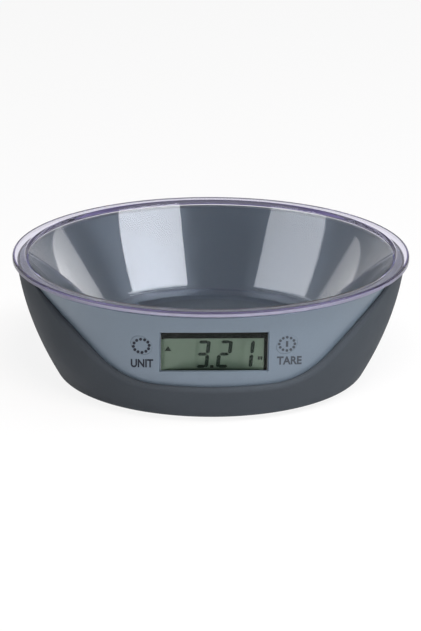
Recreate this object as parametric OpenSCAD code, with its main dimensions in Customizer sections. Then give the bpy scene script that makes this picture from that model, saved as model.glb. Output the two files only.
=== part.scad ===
// Round electronic kitchen scale with a clear bowl that nests in its body.
// Millimetres. Z = 0 is the table under the feet, the bowl's axis is x = y = 0,
// and the display faces -Y.

/* [Bowl] */
// Outer diameter of the bowl's flange
bowl_flange_d = 240; // [228:1:260]
// Thickness of the bowl's flange
bowl_flange_t = 3; // [2:0.1:4]
// Width of the flange, from its outer edge to the inside wall
bowl_flange_w = 8; // [6:0.5:12]
// Diameter of the flat inside floor, measured to the sharp corner
bowl_floor_d = 152; // [140:1:160]
// Inside depth of the bowl
bowl_depth = 46.5; // [40:0.5:55]
// Wall thickness of the bowl
bowl_wall_t = 2; // [1.6:0.1:2.6]
// Floor thickness of the bowl
bowl_floor_t = 2.5; // [1.8:0.1:3.5]
// Rounding between the flange's top and the inside wall
bowl_mouth_round = 3; // [1.5:0.5:4]
// Fillet between the inside wall and the floor
bowl_floor_round = 4; // [2:0.5:8]
// Rounding of the flange's outer edges
bowl_edge_round = 0.7; // [0.3:0.1:1.2]

/* [Body] */
// Height of the body's underside above the table
foot_proud = 2; // [1.5:0.5:4]
// Thickness of the body's floor
shell_floor_t = 2.5; // [2:0.1:3.5]
// How far the shell's top edge stands outside the front panel's top
shell_lip_out = 1.3; // [1:0.1:2.5]
// How far the side wall's middle pulls in from its top radius
shell_mid_in = 4.3; // [3.5:0.1:5]
// How far the side wall's lower end lies inside its top radius
shell_low_in = 23.2; // [21:0.1:25]
// Radius of the body's lower corner
shell_corner_r = 6; // [4:0.5:9]
// Gap between the shell and the housing nested in it
shell_gap = 0.3; // [0.2:0.1:0.6]
// Wall thickness of the shell below the front panel
shell_wall_t = 2.6; // [2:0.1:3.5]
// Rounding of the shell's edge around the front panel
shell_edge_round = 3; // [2:0.5:3.5]

/* [Front panel] */
// Lean of the front panel from the vertical, outwards at the top
panel_lean = 19; // [15:1:22]
// Wall thickness of the front panel
panel_t = 2; // [1.6:0.1:2.5]
// Height of the front panel, from the housing's rim to its lower edge
panel_h = 47.5; // [44:0.5:50]
// Half width of the front panel's lower edge, to its sharp corner
panel_half_w = 56; // [50:1:60]
// Angle of the front panel's side edges above the horizontal
panel_side_angle = 44; // [40:1:50]
// Corner radius of the front panel's outline
panel_corner_r = 50; // [30:1:60]
// How far the front panel reaches behind the shell's edge
panel_tuck = 4; // [3:0.5:5]

/* [Well] */
// Gap between the bowl's flange and the housing's rim
rim_gap = 1.5; // [1:0.1:2.5]
// Thickness of the housing's rim
rim_t = 2; // [1.5:0.1:3]
// Radial gap between the bowl and the well around it
well_gap = 0.7; // [0.5:0.1:1.5]
// Wall thickness of the well
well_t = 1.4; // [1.2:0.1:2]
// Thickness of the well's floor
well_floor_t = 1.8; // [1.5:0.1:2.5]
// Gap between the well's floor and the platform
platform_gap = 1.7; // [1.2:0.1:2.5]

/* [Platform] */
// Diameter of the weighing platform
platform_d = 124; // [110:1:130]
// Thickness of the weighing platform
platform_t = 2.5; // [2:0.1:3.5]
// How far the platform sinks at full load
platform_travel = 0.5; // [0.3:0.1:0.8]
// Diameter of the non-slip pad
pad_d = 108; // [90:1:112]
// Thickness of the non-slip pad
pad_t = 0.8; // [0.6:0.1:1.2]
// How far the pad stands above the platform
pad_proud = 0.2; // [0.1:0.1:0.4]
// Gap between the pad's edge and its recess
pad_gap = 0.3; // [0.2:0.1:0.6]
// Height of the hub that joins the platform to the load cell
hub_h = 4.6; // [4:0.1:7]
// Length of the hub along the load cell
hub_l = 26; // [24:0.5:28]
// Width of the hub
hub_w = 14; // [12:0.5:16]
// Gap between the hub and the hole in the well's floor
hub_clear = 2.5; // [1.5:0.5:4]

/* [Load cell] */
// Length of the load cell
cell_l = 80; // [76:1:84]
// Width of the load cell
cell_w = 12.7; // [12:0.1:14]
// Height of the load cell
cell_h = 12.7; // [10:0.1:14]
// Distance from the load cell's end to its first screw
cell_hole_end = 5; // [4.5:0.5:6]
// Distance between the two screws at one end
cell_hole_pitch = 15; // [13:0.5:16]
// Radius of each of the two bores that thin the load cell
cell_bore_r = 4.3; // [3.5:0.1:5]
// Distance between those two bores
cell_bore_pitch = 14; // [12:0.5:15]
// Thickness of the spacer under the fixed end
fixed_spacer_t = 1.5; // [1:0.1:3]
// Thickness of the spacer over the free end
free_spacer_t = 1; // [0.8:0.1:2]
// Length of each spacer
spacer_l = 24; // [22:0.5:26]
// Radius of the load cell's screws
cell_screw_r = 2; // [1.5:0.1:2.5]
// Thickness of the strain gauges under their sealant
gauge_t = 0.9; // [0.6:0.1:1]

/* [Display] */
// Distance from the housing's rim down to the display's centre
display_drop = 23; // [20:0.5:24]
// Width of the display's opening
window_w = 62; // [56:0.5:64]
// Height of the display's opening, as seen along the line of sight
window_h = 22.4; // [20:0.1:24]
// Downward slope of the line of sight that the opening is cut along
sight_angle = 17; // [10:1:20]
// How far the window lies behind the panel at the opening's ends
window_set = 0.3; // [0.2:0.1:0.6]
// Thickness of the clear window
window_t = 0.9; // [0.7:0.1:1.2]
// How far the window reaches above and below the opening
window_margin = 1; // [0.8:0.1:1.5]
// Clearance of the window in its rebate
window_clear = 0.2; // [0.1:0.05:0.3]
// Wall around the window's rebate
rebate_wall = 1.2; // [1:0.1:2]
// Thickness of the foam gasket behind the window
gasket_t = 0.3; // [0.2:0.1:0.5]
// Width of the liquid crystal panel
lcd_w = 59; // [56:0.5:60]
// Height of the liquid crystal panel
lcd_h = 25.5; // [24:0.5:27]
// Thickness of the liquid crystal panel
lcd_t = 1.6; // [1.2:0.1:2]
// Height of the liquid crystal panel's top edge over the display's centre
lcd_top = 6; // [5:0.5:7]
// Overlap of the gasket over the liquid crystal panel's edge
gasket_lap = 0.7; // [0.5:0.1:1]
// Clearance between the liquid crystal panel and the well behind it
lcd_clear = 0.7; // [0.3:0.1:1]
// Side wall of the liquid crystal panel's holder
holder_wall = 1.3; // [1:0.1:1.6]
// Thickness of the holder's bar over the liquid crystal panel's top edge
holder_bar_t = 0.7; // [0.5:0.1:0.8]
// Clearance of the liquid crystal panel in its holder, and of the holder in the housing
holder_clear = 0.2; // [0.1:0.05:0.3]
// Height of the rubber connector strip
strip_h = 5.4; // [5:0.1:7]
// Length of the rubber connector strip
strip_l = 50; // [40:1:54]
// Thickness of the rubber connector strip
strip_t = 2; // [1.5:0.1:3]

/* [Circuit board] */
// Width of the main circuit board
board_w = 88; // [86:1:90]
// Height of the main circuit board
board_h = 20; // [18:0.5:22]
// Thickness of the main circuit board
board_t = 1.6; // [1:0.1:2]
// Distance from the board's top edge to the rubber strip's contacts
board_edge = 1; // [0.6:0.1:1.5]
// Radius of the posts that carry the board
post_r = 2.4; // [2:0.1:3]
// Distance of the two inner posts from the middle
inner_post_x = 22; // [19:1:28]
// Radius of the resin cap over the controller
resin_r = 6.5; // [5:0.5:8]
// Height of the resin cap
resin_t = 1.2; // [0.8:0.1:1.8]
// Length of the crystal's can
crystal_l = 6; // [4:0.5:8]
// Width of the crystal's can
crystal_w = 3; // [2:0.1:3.6]
// Height of the crystal's can
crystal_h = 2; // [1.5:0.1:2.5]
// Radius of each capacitor
capacitor_r = 1.8; // [1.5:0.1:2.2]
// Height of each capacitor
capacitor_h = 2.6; // [2:0.1:4]
// Radius of the small board screws
small_screw_r = 1; // [0.8:0.1:1.2]
// Length of the small board screws under the head
small_screw_l = 3.4; // [2.6:0.2:4]
// Thickness of the small screws' heads
small_head_t = 0.9; // [0.6:0.1:1.2]

/* [Keys] */
// Angle around the body from the display's centre to each key
key_angle = 22.9; // [22:0.1:26]
// Distance from the housing's rim down to the keys' centres
key_drop = 21.5; // [19:0.5:23]
// Diameter of each key's cap
key_d = 13.2; // [12:0.1:14]
// Gap between a key's cap and its hole
key_gap = 0.2; // [0.15:0.05:0.4]
// Width of the flange that keeps a key in its hole
key_flange = 0.7; // [0.5:0.1:1]
// Thickness of a key's flange
key_flange_t = 0.6; // [0.5:0.1:1]
// Gap between a key's flange and the wall
key_flange_gap = 0.4; // [0.35:0.05:0.6]
// Travel of each key
key_travel = 0.4; // [0.3:0.05:0.6]
// Side of each push switch
switch_w = 6; // [5:0.1:6.4]
// Height of each push switch's body
switch_h = 2.2; // [2:0.1:3]
// Radius of each push switch's plunger
plunger_r = 1.6; // [1.2:0.1:2]
// Thickness of each key's circuit board
key_board_t = 0.8; // [0.6:0.1:1]

/* [Battery] */
// Diameter of a battery
battery_d = 10.5; // [10:0.1:14.5]
// Length of a battery with its terminal
battery_l = 44.5; // [42:0.5:50]
// Distance from the bowl's axis to the first battery's near side
battery_y = 28; // [24:0.5:32]
// Gap between the batteries and around them
battery_gap = 0.5; // [0.3:0.1:1]
// Room for the contact at each end
contact_room = 3.2; // [2.5:0.1:4]
// Thickness of the contact plates
contact_t = 0.4; // [0.3:0.1:0.6]
// Thickness of the contact springs' wire
spring_wire_d = 0.7; // [0.5:0.1:0.9]
// Radius of the contact springs at the battery's end
spring_small_r = 1.8; // [1.4:0.1:2.4]
// Radius of the contact springs at the plate's end
spring_big_r = 4; // [3.2:0.1:4.4]
// Wall of the battery box
box_wall = 1.6; // [1.2:0.1:2.5]
// Distance of each battery lead's outlet from the middle of the box
lead_x = 20; // [16:1:22]
// Radius of each battery lead
lead_r = 0.6; // [0.5:0.1:1]
// Radius of the load cell's cable
cable_r = 1.3; // [1:0.1:1.8]
// Thickness of the battery door
door_t = 2; // [1.6:0.1:2.2]
// Gap around the battery door
door_gap = 0.3; // [0.2:0.1:0.5]
// Width of each of the door's two hooks
hook_w = 8; // [5:0.5:12]
// Distance of each hook from the middle of the door
hook_x = 16; // [12:0.5:18]
// How far each hook reaches over the body's floor
hook_l = 2; // [1:0.1:3]
// Thickness of each hook
hook_t = 1; // [0.8:0.1:1.4]
// Width of the door's snap tongue
tongue_w = 12; // [8:0.5:16]
// Length of the snap tongue
tongue_l = 9; // [6:0.5:12]
// Width of the slots beside the snap tongue
tongue_slot = 1; // [0.6:0.1:1.5]
// How far the bead on the tongue stands out
bead_out = 0.2; // [0.1:0.05:0.25]
// Depth of the finger notch beside the door
notch_depth = 1.2; // [0.8:0.1:1.4]
// Radius of the round finger notch
notch_r = 12; // [8:0.5:16]

/* [Feet and screws] */
// Diameter of each rubber foot
foot_d = 15; // [12:0.5:18]
// Distance from the bowl's axis to each foot
foot_reach = 76; // [70:0.5:79]
// Depth of the pocket that each foot sits in
foot_pocket = 1; // [0.6:0.1:1.4]
// Radius of the plug that holds each foot
foot_plug_r = 2.6; // [2:0.1:3.5]
// Distance from the bowl's axis to each case screw
case_reach = 64; // [60:0.5:67]
// Radius of each case screw
case_screw_r = 1.5; // [1.2:0.1:2]
// Length of each case screw under the head
case_screw_l = 12; // [10:0.5:13]
// Radius of the bosses around the case screws
boss_r = 4.6; // [4.2:0.1:5.5]

/* [Hidden] */
$fn = 96;

// Heights, stacked from the table to the bowl's flange
floor_z = foot_proud + shell_floor_t;
cell_z = floor_z + fixed_spacer_t;
cell_top = cell_z + cell_h;
hub_z = cell_top + free_spacer_t;
platform_under = hub_z + hub_h;
platform_top = platform_under + platform_t;
bowl_under = platform_top + pad_proud;
bowl_floor_z = bowl_under + bowl_floor_t;
flange_z = bowl_floor_z + bowl_depth;
rim_z = flange_z - bowl_flange_t - rim_gap;
well_floor_z = platform_under - platform_gap;
well_under = well_floor_z - well_floor_t;

// Bowl wall: a cone from the floor's corner to the mouth
bowl_mouth_d = bowl_flange_d - 2 * bowl_flange_w;
wall_slope = (bowl_mouth_d - bowl_floor_d) / 2 / bowl_depth;
wall_skew = sqrt(1 + wall_slope * wall_slope);
function bowl_in_r(z) = bowl_floor_d / 2 + (z - bowl_floor_z) * wall_slope;
function bowl_out_r(z) = bowl_in_r(z) + bowl_wall_t * wall_skew;
function well_in_r(z) = bowl_out_r(z) + well_gap;
function well_out_r(z) = well_in_r(z) + well_t * wall_skew;

// The front panel stands out far enough for the display and its board to clear the well
display_z = rim_z - display_drop;
panel_guess_r = well_out_r(display_z) + 11;
function sagitta(r, half) = r - sqrt(r * r - half * half);
low_end_r = panel_guess_r - window_h / 2 * tan(panel_lean);
window_depth = sagitta(low_end_r / cos(panel_lean), window_w / 2) + window_set;
window_back = window_depth + window_t;
lcd_front = window_back + gasket_t;
lcd_back = lcd_front + lcd_t;
lcd_low = lcd_top - lcd_h;
board_front = lcd_back + strip_h;
board_back = board_front + board_t;
board_high = lcd_low + strip_t + 2 * board_edge;
board_low = board_high - board_h;
board_mid = (board_high + board_low) / 2;
// Panel radius at the display's centre that keeps a corner, v up the panel and depth behind it, clear
function clear_r(v, depth) =
  well_out_r(display_z + v * cos(panel_lean) + depth * sin(panel_lean)) + lcd_clear
  - v * sin(panel_lean) + depth * cos(panel_lean);
panel_mid_r = max(clear_r(lcd_top, lcd_back), clear_r(board_high, board_back),
  clear_r(board_mid, board_back + capacitor_h));
panel_top_r = panel_mid_r + display_drop * tan(panel_lean);
function panel_r(z) = panel_top_r - (rim_z - z) * tan(panel_lean);
panel_z = rim_z - panel_h;

// Side wall of the shell: a smooth curve from the rim to the lower corner
shell_top_r = panel_top_r + shell_lip_out;
shell_mid_r = shell_top_r - shell_mid_in;
shell_low_r = shell_top_r - shell_low_in;
corner_lean = atan(2 * (shell_mid_r - shell_low_r) / (rim_z - foot_proud - shell_corner_r / 2));
shell_low_z = foot_proud + shell_corner_r * (1 - sin(corner_lean));
function shell_r(t) = pow(1 - t, 2) * shell_top_r + 2 * t * (1 - t) * shell_mid_r + t * t * shell_low_r;
function shell_z(t) = rim_z - t * (rim_z - shell_low_z);
shell_steps = 12;
// Height at which the shell's inside leaves the panel's cone
shell_inner_z = panel_z - panel_tuck - 1;

// Unit vector, and the arc that rounds a corner b between points a and c
function unit(v) = v / norm(v);
function corner(a, b, c, r) =
  let (u = unit(a - b), v = unit(c - b), half = acos(u * v) / 2,
       o = b + unit(u + v) * r / sin(half), p = b + u * r / tan(half) - o, q = b + v * r / tan(half) - o,
       a0 = atan2(p[1], p[0]), turn = atan2(p[0] * q[1] - p[1] * q[0], p * q),
       n = max(2, ceil(abs(turn) / 11)))
  [for (i = [0:n]) o + r * [cos(a0 + turn * i / n), sin(a0 + turn * i / n)]];
// Outline whose points are [x, y, radius]
function rounded(p) = [for (i = [0:len(p) - 1])
  let (m = len(p), a = p[(i + m - 1) % m], b = p[i], c = p[(i + 1) % m])
  each (b[2] > 0 ? corner([a[0], a[1]], [b[0], b[1]], [c[0], c[1]], b[2]) : [[b[0], b[1]]])];

// Frame on the front panel: x across, y up the slope, z out along the normal
module on_panel(angle, z) {
  rotate([0, 0, angle]) translate([0, -panel_r(z), z]) rotate([90 + panel_lean, 0, 0]) children();
}
module on_display() { on_panel(0, display_z) children(); }
key_z = rim_z - key_drop;
module on_key(side) { on_panel(side * key_angle, key_z) children(); }
// A box from one corner to the other
module span(low, high) { translate(low) cube(high - low); }
// A tube of half the given side count through a list of points
function frame_at(p, i) =
  let (t = unit(p[min(i + 1, len(p) - 1)] - p[max(i - 1, 0)]),
       side = unit(cross(t, abs(t[2]) < 0.9 ? [0, 0, 1] : [1, 0, 0])))
  [side, cross(side, t)];
module tube(path, r, sides) {
  rings = [for (i = [0:len(path) - 1]) for (k = [0:sides - 1])
    let (f = frame_at(path, i), a = 360 * k / sides) path[i] + r * (cos(a) * f[0] + sin(a) * f[1])];
  last = (len(path) - 1) * sides;
  polyhedron(rings, concat([[for (k = [0:sides - 1]) sides - 1 - k]],
    [for (i = [0:len(path) - 2]) for (k = [0:sides - 1])
      let (m = (k + 1) % sides, a = i * sides, b = a + sides)
        each [[a + k, b + m, b + k], [a + k, a + m, b + m]]],
    [[for (k = [0:sides - 1]) last + k]]));
}

// Bowl: flange, sloped wall and flat floor
module bowl() {
  flange_r = bowl_flange_d / 2;
  under = flange_z - bowl_flange_t;
  wall_low = bowl_floor_d / 2 + bowl_wall_t * wall_skew - bowl_floor_t * wall_slope;
  color("lightcyan", 0.5) rotate_extrude() polygon(rounded([
    [0, bowl_floor_z, 0], [bowl_floor_d / 2, bowl_floor_z, bowl_floor_round],
    [bowl_mouth_d / 2, flange_z, bowl_mouth_round],
    [flange_r, flange_z, bowl_edge_round], [flange_r, under, bowl_edge_round],
    [bowl_out_r(under), under, 0], [wall_low, bowl_under, bowl_floor_round],
    [0, bowl_under, 0]]));
}

// Outline of the front panel, seen from the front and grown outwards
function panel_outline(grow) =
  let (top = rim_z + 5, low = panel_z - grow, half = panel_half_w + grow * tan(panel_side_angle / 2),
       wide = half + (top - low) / tan(panel_side_angle))
  rounded([[-wide, top, 0], [-half, low, panel_corner_r + grow], [half, low, panel_corner_r + grow],
    [wide, top, 0]]);
// The panel's outline as a prism through the front of the body
module panel_prism(grow) {
  near = 15;
  translate([0, -near, 0]) rotate([90, 0, 0]) linear_extrude(shell_top_r) polygon(panel_outline(grow));
}
// Solid body of revolution inside the shell's outer skin, shrunk by inset
module shell_solid(inset) {
  wall = [for (i = [0:shell_steps]) [shell_r(i / shell_steps) - inset, shell_z(i / shell_steps)]];
  knee = [for (i = [1:5]) let (a = -corner_lean - (90 - corner_lean) * i / 5)
    [shell_low_r - inset + shell_corner_r * (cos(a) - cos(corner_lean)),
     shell_low_z + shell_corner_r * (sin(a) + sin(corner_lean))]];
  rotate_extrude() polygon(concat([[0, rim_z]], wall, knee, [[0, foot_proud]]));
}
shell_inner_low_r = shell_low_r - shell_wall_t;
module shell_cavity() {
  rotate_extrude() polygon([[0, floor_z], [shell_inner_low_r - 1, floor_z],
    [shell_inner_low_r, floor_z + 1], [shell_inner_low_r + 1.6, shell_low_z + 3.4],
    [panel_r(shell_inner_z) + shell_gap, shell_inner_z], [panel_top_r + shell_gap, rim_z],
    [panel_top_r + shell_gap, rim_z + 1], [0, rim_z + 1]]);
}

// Places shared by the shell, the housing and what they hold
foot_angles = [45, 135, 225, 315];
case_angles = [20, 160, 200, 340, 250, 290];
module at_feet() {
  for (a = foot_angles) rotate([0, 0, a]) translate([foot_reach, 0, 0]) children();
}
module at_case_screws() {
  for (a = case_angles) rotate([0, 0, a]) translate([case_reach, 0, 0]) children();
}
cell_end_x = cell_l / 2 - cell_hole_end;
cell_holes = [cell_end_x, cell_end_x - cell_hole_pitch];
hub_x = cell_end_x - cell_hole_pitch / 2;
head_r = cell_screw_r * 1.8;
head_t = cell_screw_r * 0.9;
case_head_r = case_screw_r * 1.9;
case_head_t = case_screw_r * 1.3;
case_head_z = foot_proud + 3.5;
boss_join_z = case_head_z + case_screw_l / 2;
screw_clear = 0.2;
overload_x = cell_end_x;
overload_r = cell_screw_r;
overload_top = cell_z - platform_travel - 0.1;

// Battery box and its door, symmetric about x = 0
box_in_x = battery_l / 2 + contact_room + contact_t;
box_y0 = battery_y - battery_gap;
box_y1 = battery_y + 2 * battery_d + 2 * battery_gap;
battery_z = foot_proud + door_t + battery_gap + battery_d / 2;
box_top = battery_z + battery_d / 2 + battery_gap;
door_y0 = box_y0;
door_y1 = box_y1;
door_x = box_in_x;

// Lower shell: dark outer wall and floor with everything that stands on it
module lower_shell() {
  color("dimgray") difference() {
    union() {
      difference() {
        shell_solid(0);
        shell_cavity();
        panel_prism(0);
        for (s = [1, 2]) difference() {
          depth = shell_edge_round * s / 3;
          reach = shell_edge_round - sqrt(pow(shell_edge_round, 2) - pow(shell_edge_round - depth, 2));
          panel_prism(reach + 0.4);
          shell_solid(depth);
        }
      }
      at_case_screws() cylinder(h = boss_join_z, r = boss_r);
      span([-door_x - box_wall, door_y0 - box_wall, foot_proud],
           [door_x + box_wall, door_y1 + box_wall, box_top + box_wall]);
      translate([overload_x, 0, foot_proud]) cylinder(h = overload_top - foot_proud - 0.4, r = boss_r);
    }
    translate([0, 0, -1]) cylinder(h = foot_proud + 1, r = shell_top_r);
    span([-door_x, door_y0, foot_proud - 1], [door_x, door_y1, box_top]);
    for (x = [-1, 1]) span([x * hook_x - hook_w / 2 - door_gap, door_y0 - hook_l - 2 * door_gap, floor_z],
      [x * hook_x + hook_w / 2 + door_gap, door_y0 + 1, floor_z + hook_l + hook_t + 2 * door_gap]);
    translate([0, door_y1, foot_proud - notch_r + notch_depth]) sphere(r = notch_r);
    at_feet() {
      translate([0, 0, foot_proud - 1]) cylinder(h = foot_pocket + 1, r = foot_d / 2 + 0.2);
      cylinder(h = floor_z + 1, r = foot_plug_r);
    }
    at_case_screws() {
      cylinder(h = boss_join_z + 1, r = case_screw_r + screw_clear);
      translate([0, 0, foot_proud - 1]) cylinder(h = case_head_z + case_head_t - foot_proud + 1,
        r = case_head_r + screw_clear);
    }
    for (x = cell_holes) translate([-x, 0, 0]) {
      cylinder(h = cell_z, r = cell_screw_r + screw_clear);
      translate([0, 0, foot_proud - 1]) cylinder(h = head_t + 1.1, r = head_r + screw_clear);
    }
    translate([overload_x, 0, 0]) cylinder(h = cell_z, r = overload_r + 0.05);
    for (x = [-lead_x, lead_x]) span([x - 2 * lead_r, door_y0 - box_wall - 1, lead_z - 2 * lead_r],
      [x + 2 * lead_r, door_y0 + 1, lead_z + 2 * lead_r]);
  }
}

// Display opening in the panel's frame: it is cut along the line of sight
cut_angle = panel_lean + sight_angle;
function sight_shift(depth) = -depth * tan(cut_angle);
window_half_v = window_h / 2 / cos(cut_angle);
window_mid_v = sight_shift(window_depth);
window_low = window_mid_v - window_half_v - window_margin;
window_high = window_mid_v + window_half_v + window_margin;
window_half_w = window_w / 2 - window_clear;
holder_half_w = lcd_w / 2 + holder_clear + holder_wall;
holder_low = lcd_low - holder_clear - holder_wall;
holder_high = lcd_top + holder_clear + holder_wall;
strip_mid = lcd_low + strip_t / 2 + 0.8;
outer_post_x = board_w / 2 - post_r - 1.6;
board_posts = [for (s = [-1, 1])
  each [[s * outer_post_x, board_mid + 1], [s * inner_post_x, board_mid - 2.5]]];
key_wall_in = panel_t + key_flange_gap;
switch_top = key_wall_in + key_flange_t + key_travel + 0.5;
key_board_front = switch_top + switch_h;
key_cap_r = key_d / 2;
key_flange_r = key_cap_r + key_flange;
key_post_r = 1.9;
key_post_reach = key_flange_r + key_post_r + 0.4;
key_posts = [for (s = [-1, 1]) key_post_reach * [s * sin(45), -cos(45)]];
key_board_half = key_post_reach * sin(45) + key_post_r;
key_board_low = -key_post_reach * cos(45) - key_post_r - 0.4;
key_board_high = switch_w / 2 + 0.6;

// Upper housing: rim, well, front panel, display frame, key holes and posts
skirt_h = 4;
module upper_housing() {
  rim_out = panel_top_r - panel_t / 2;
  low_out = panel_r(shell_inner_z);
  color("slategray") difference() {
    union() {
      rotate_extrude($fn = 240) polygon([
        [well_in_r(well_floor_z), well_floor_z], [well_in_r(rim_z), rim_z], [rim_out, rim_z],
        [rim_out, rim_z - rim_t], [well_out_r(rim_z - rim_t), rim_z - rim_t],
        [well_out_r(well_under), well_under], [0, well_under], [0, well_floor_z]]);
      // Front panel, and the short skirt that runs on around the rim
      intersection() {
        rotate_extrude($fn = 240) polygon([[panel_top_r, rim_z], [low_out, shell_inner_z],
          [low_out - panel_t / cos(panel_lean), shell_inner_z],
          [panel_top_r - panel_t / cos(panel_lean), rim_z]]);
        union() {
          panel_prism(panel_tuck);
          translate([0, 0, rim_z - skirt_h]) cylinder(h = skirt_h + 1, r = panel_top_r + 1);
        }
      }
      // Frame around the window, cut off inside the panel's thickness
      intersection() {
        on_display() span([-window_w / 2 - rebate_wall, window_low - rebate_wall, -lcd_front],
          [window_w / 2 + rebate_wall, window_high + rebate_wall, 1]);
        rotate_extrude($fn = 240) polygon([[0, shell_inner_z], [low_out - panel_t / 2, shell_inner_z],
          [rim_out, rim_z], [0, rim_z]]);
      }
      at_case_screws() translate([0, 0, boss_join_z])
        cylinder(h = well_under - boss_join_z + 0.5, r = boss_r);
      for (p = board_posts) on_display() translate([p[0], p[1], -board_front])
        cylinder(h = board_front - sagitta(panel_r(panel_z) / cos(panel_lean), abs(p[0])) - panel_t / 2,
          r = post_r);
      for (s = [-1, 1]) on_key(s) for (p = key_posts) translate([p[0], p[1], -key_board_front])
        cylinder(h = key_board_front - panel_t / 2 - 0.3, r = key_post_r);
    }
    // Opening of the display, the rebate for its window and gasket, and room for the holder
    translate([0, -panel_r(display_z), display_z]) rotate([90 - sight_angle, 0, 0])
      span([-window_w / 2, -window_h / 2, -12], [window_w / 2, window_h / 2, 12]);
    on_display() {
      span([-window_w / 2, window_low - window_clear, -lcd_front - 1],
           [window_w / 2, window_high + window_clear, -window_depth]);
      span([-holder_half_w - holder_clear, holder_low - holder_clear, -lcd_front - holder_bar_t - 0.1],
           [holder_half_w + holder_clear, holder_high + holder_clear / 2, -lcd_front + holder_clear / 2]);
    }
    for (s = [-1, 1]) on_key(s) {
      translate([0, 0, -key_wall_in - 1]) cylinder(h = key_wall_in + 3, r = key_cap_r + key_gap);
      for (p = key_posts) translate([p[0], p[1], -key_board_front - 1])
        cylinder(h = small_screw_l + 0.6, r = small_screw_r + 0.05);
    }
    for (p = board_posts) on_display() translate([p[0], p[1], -board_front - 1])
      cylinder(h = small_screw_l - board_t + 1.2, r = small_screw_r + 0.05);
    at_case_screws() translate([0, 0, boss_join_z - 1])
      cylinder(h = case_head_z + case_head_t + case_screw_l - boss_join_z + 1.3, r = case_screw_r + 0.05);
    // Hole for the platform's hub
    translate([hub_x, 0, well_under - 1]) linear_extrude(well_floor_t + 2) polygon(rounded([
      for (c = [[-1, -1], [1, -1], [1, 1], [-1, 1]])
        [c[0] * (hub_l / 2 + hub_clear), c[1] * (hub_w / 2 + hub_clear), hub_clear + 1]]));
  }
}

// Clear window of the display
module display_window() {
  color("lightgray", 0.4) on_display()
    span([-window_half_w, window_low, -window_back], [window_half_w, window_high, -window_depth]);
}

// Black foam frame between the window and the liquid crystal panel
module lcd_gasket() {
  color("black") on_display() difference() {
    span([-window_half_w, window_low, -lcd_front], [window_half_w, window_high, -window_back]);
    span([-lcd_w / 2 + gasket_lap, lcd_low + gasket_lap, -lcd_front - 1],
         [lcd_w / 2 - gasket_lap, lcd_top - gasket_lap, -window_back + 1]);
  }
}

// Liquid crystal panel: two sheets of glass, the rear one with a contact ledge
module lcd_panel() {
  ledge = 2.2;
  color("darkseagreen") on_display() {
    span([-lcd_w / 2, lcd_low + ledge, -lcd_front - lcd_t / 2], [lcd_w / 2, lcd_top, -lcd_front]);
    span([-lcd_w / 2, lcd_low, -lcd_back], [lcd_w / 2, lcd_top, -lcd_front - lcd_t / 2]);
  }
}

// Holder that clamps the liquid crystal panel and guides the connector strip
module lcd_holder() {
  strip_hold = strip_mid + strip_t / 2 + holder_wall;
  color("whitesmoke") on_display() difference() {
    union() {
      span([-holder_half_w, holder_low, -lcd_back], [holder_half_w, lcd_top + holder_clear, -lcd_front]);
      span([-holder_half_w, holder_low, -board_front], [holder_half_w, strip_hold, -lcd_front]);
      span([-holder_half_w, lcd_top, -lcd_front - holder_bar_t], [holder_half_w, holder_high, -lcd_front]);
    }
    span([-lcd_w / 2 - holder_clear, lcd_low - holder_clear, -lcd_back],
         [lcd_w / 2 + holder_clear, lcd_top + holder_clear, -lcd_front + 1]);
    span([-strip_l / 2 - holder_clear, strip_mid - strip_t / 2 - holder_clear / 2, -board_front - 1],
         [strip_l / 2 + holder_clear, strip_mid + strip_t / 2 + holder_clear / 2, -lcd_front]);
  }
}

// Rubber strip that joins the liquid crystal panel's contacts to the board
module connector_strip() {
  color("silver") on_display() span([-strip_l / 2, strip_mid - strip_t / 2, -board_front],
    [strip_l / 2, strip_mid + strip_t / 2, -lcd_back]);
}

// Main circuit board
module main_board() {
  color("seagreen") on_display() difference() {
    span([-board_w / 2, board_low, -board_back], [board_w / 2, board_high, -board_front]);
    for (p = board_posts) translate([p[0], p[1], -board_back - 1])
      cylinder(h = board_t + 2, r = small_screw_r + 0.2);
  }
}

// Controller under its round resin cap, with the crystal and two capacitors beside it
module controller_chip() {
  gap = resin_r + 2 * capacitor_r;
  color("black") on_display() translate([0, board_mid, -board_back]) {
    translate([0, 0, -resin_t]) cylinder(h = resin_t, r1 = resin_r - resin_t, r2 = resin_r);
    span([gap, -crystal_w / 2, -crystal_h], [gap + crystal_l, crystal_w / 2, 0]);
    for (x = [-gap, -gap - 3 * capacitor_r]) translate([x, 0, -capacitor_h])
      cylinder(h = capacitor_h, r = capacitor_r);
  }
}

// Small screw with its head at z = 0 and its shank towards +z
module small_screw() {
  color("silver") {
    translate([0, 0, -small_head_t]) cylinder(h = small_head_t, r = small_screw_r * 1.8);
    translate([0, 0, -small_head_t / 2]) cylinder(h = small_screw_l + small_head_t / 2, r = small_screw_r);
  }
}
module board_screws() {
  for (p = board_posts) on_display() translate([p[0], p[1], -board_back]) small_screw();
}
module key_board_screws() {
  for (s = [-1, 1]) on_key(s) for (p = key_posts)
    translate([p[0], p[1], -key_board_front - key_board_t]) small_screw();
}

// Key: a cap flush with the panel, and the flange that keeps it in
module key(side) {
  color("lightsteelblue") intersection() {
    on_key(side) union() {
      translate([0, 0, -key_wall_in - key_flange_t])
        cylinder(h = key_wall_in + key_flange_t + 2, r = key_cap_r);
      translate([0, 0, -key_wall_in - key_flange_t]) cylinder(h = key_flange_t, r = key_flange_r);
    }
    rotate_extrude($fn = 360) polygon([[0, shell_inner_z], [panel_r(shell_inner_z), shell_inner_z],
      [panel_top_r, rim_z], [0, rim_z]]);
  }
}
module unit_key() { key(-1); }
module tare_key() { key(1); }

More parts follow.
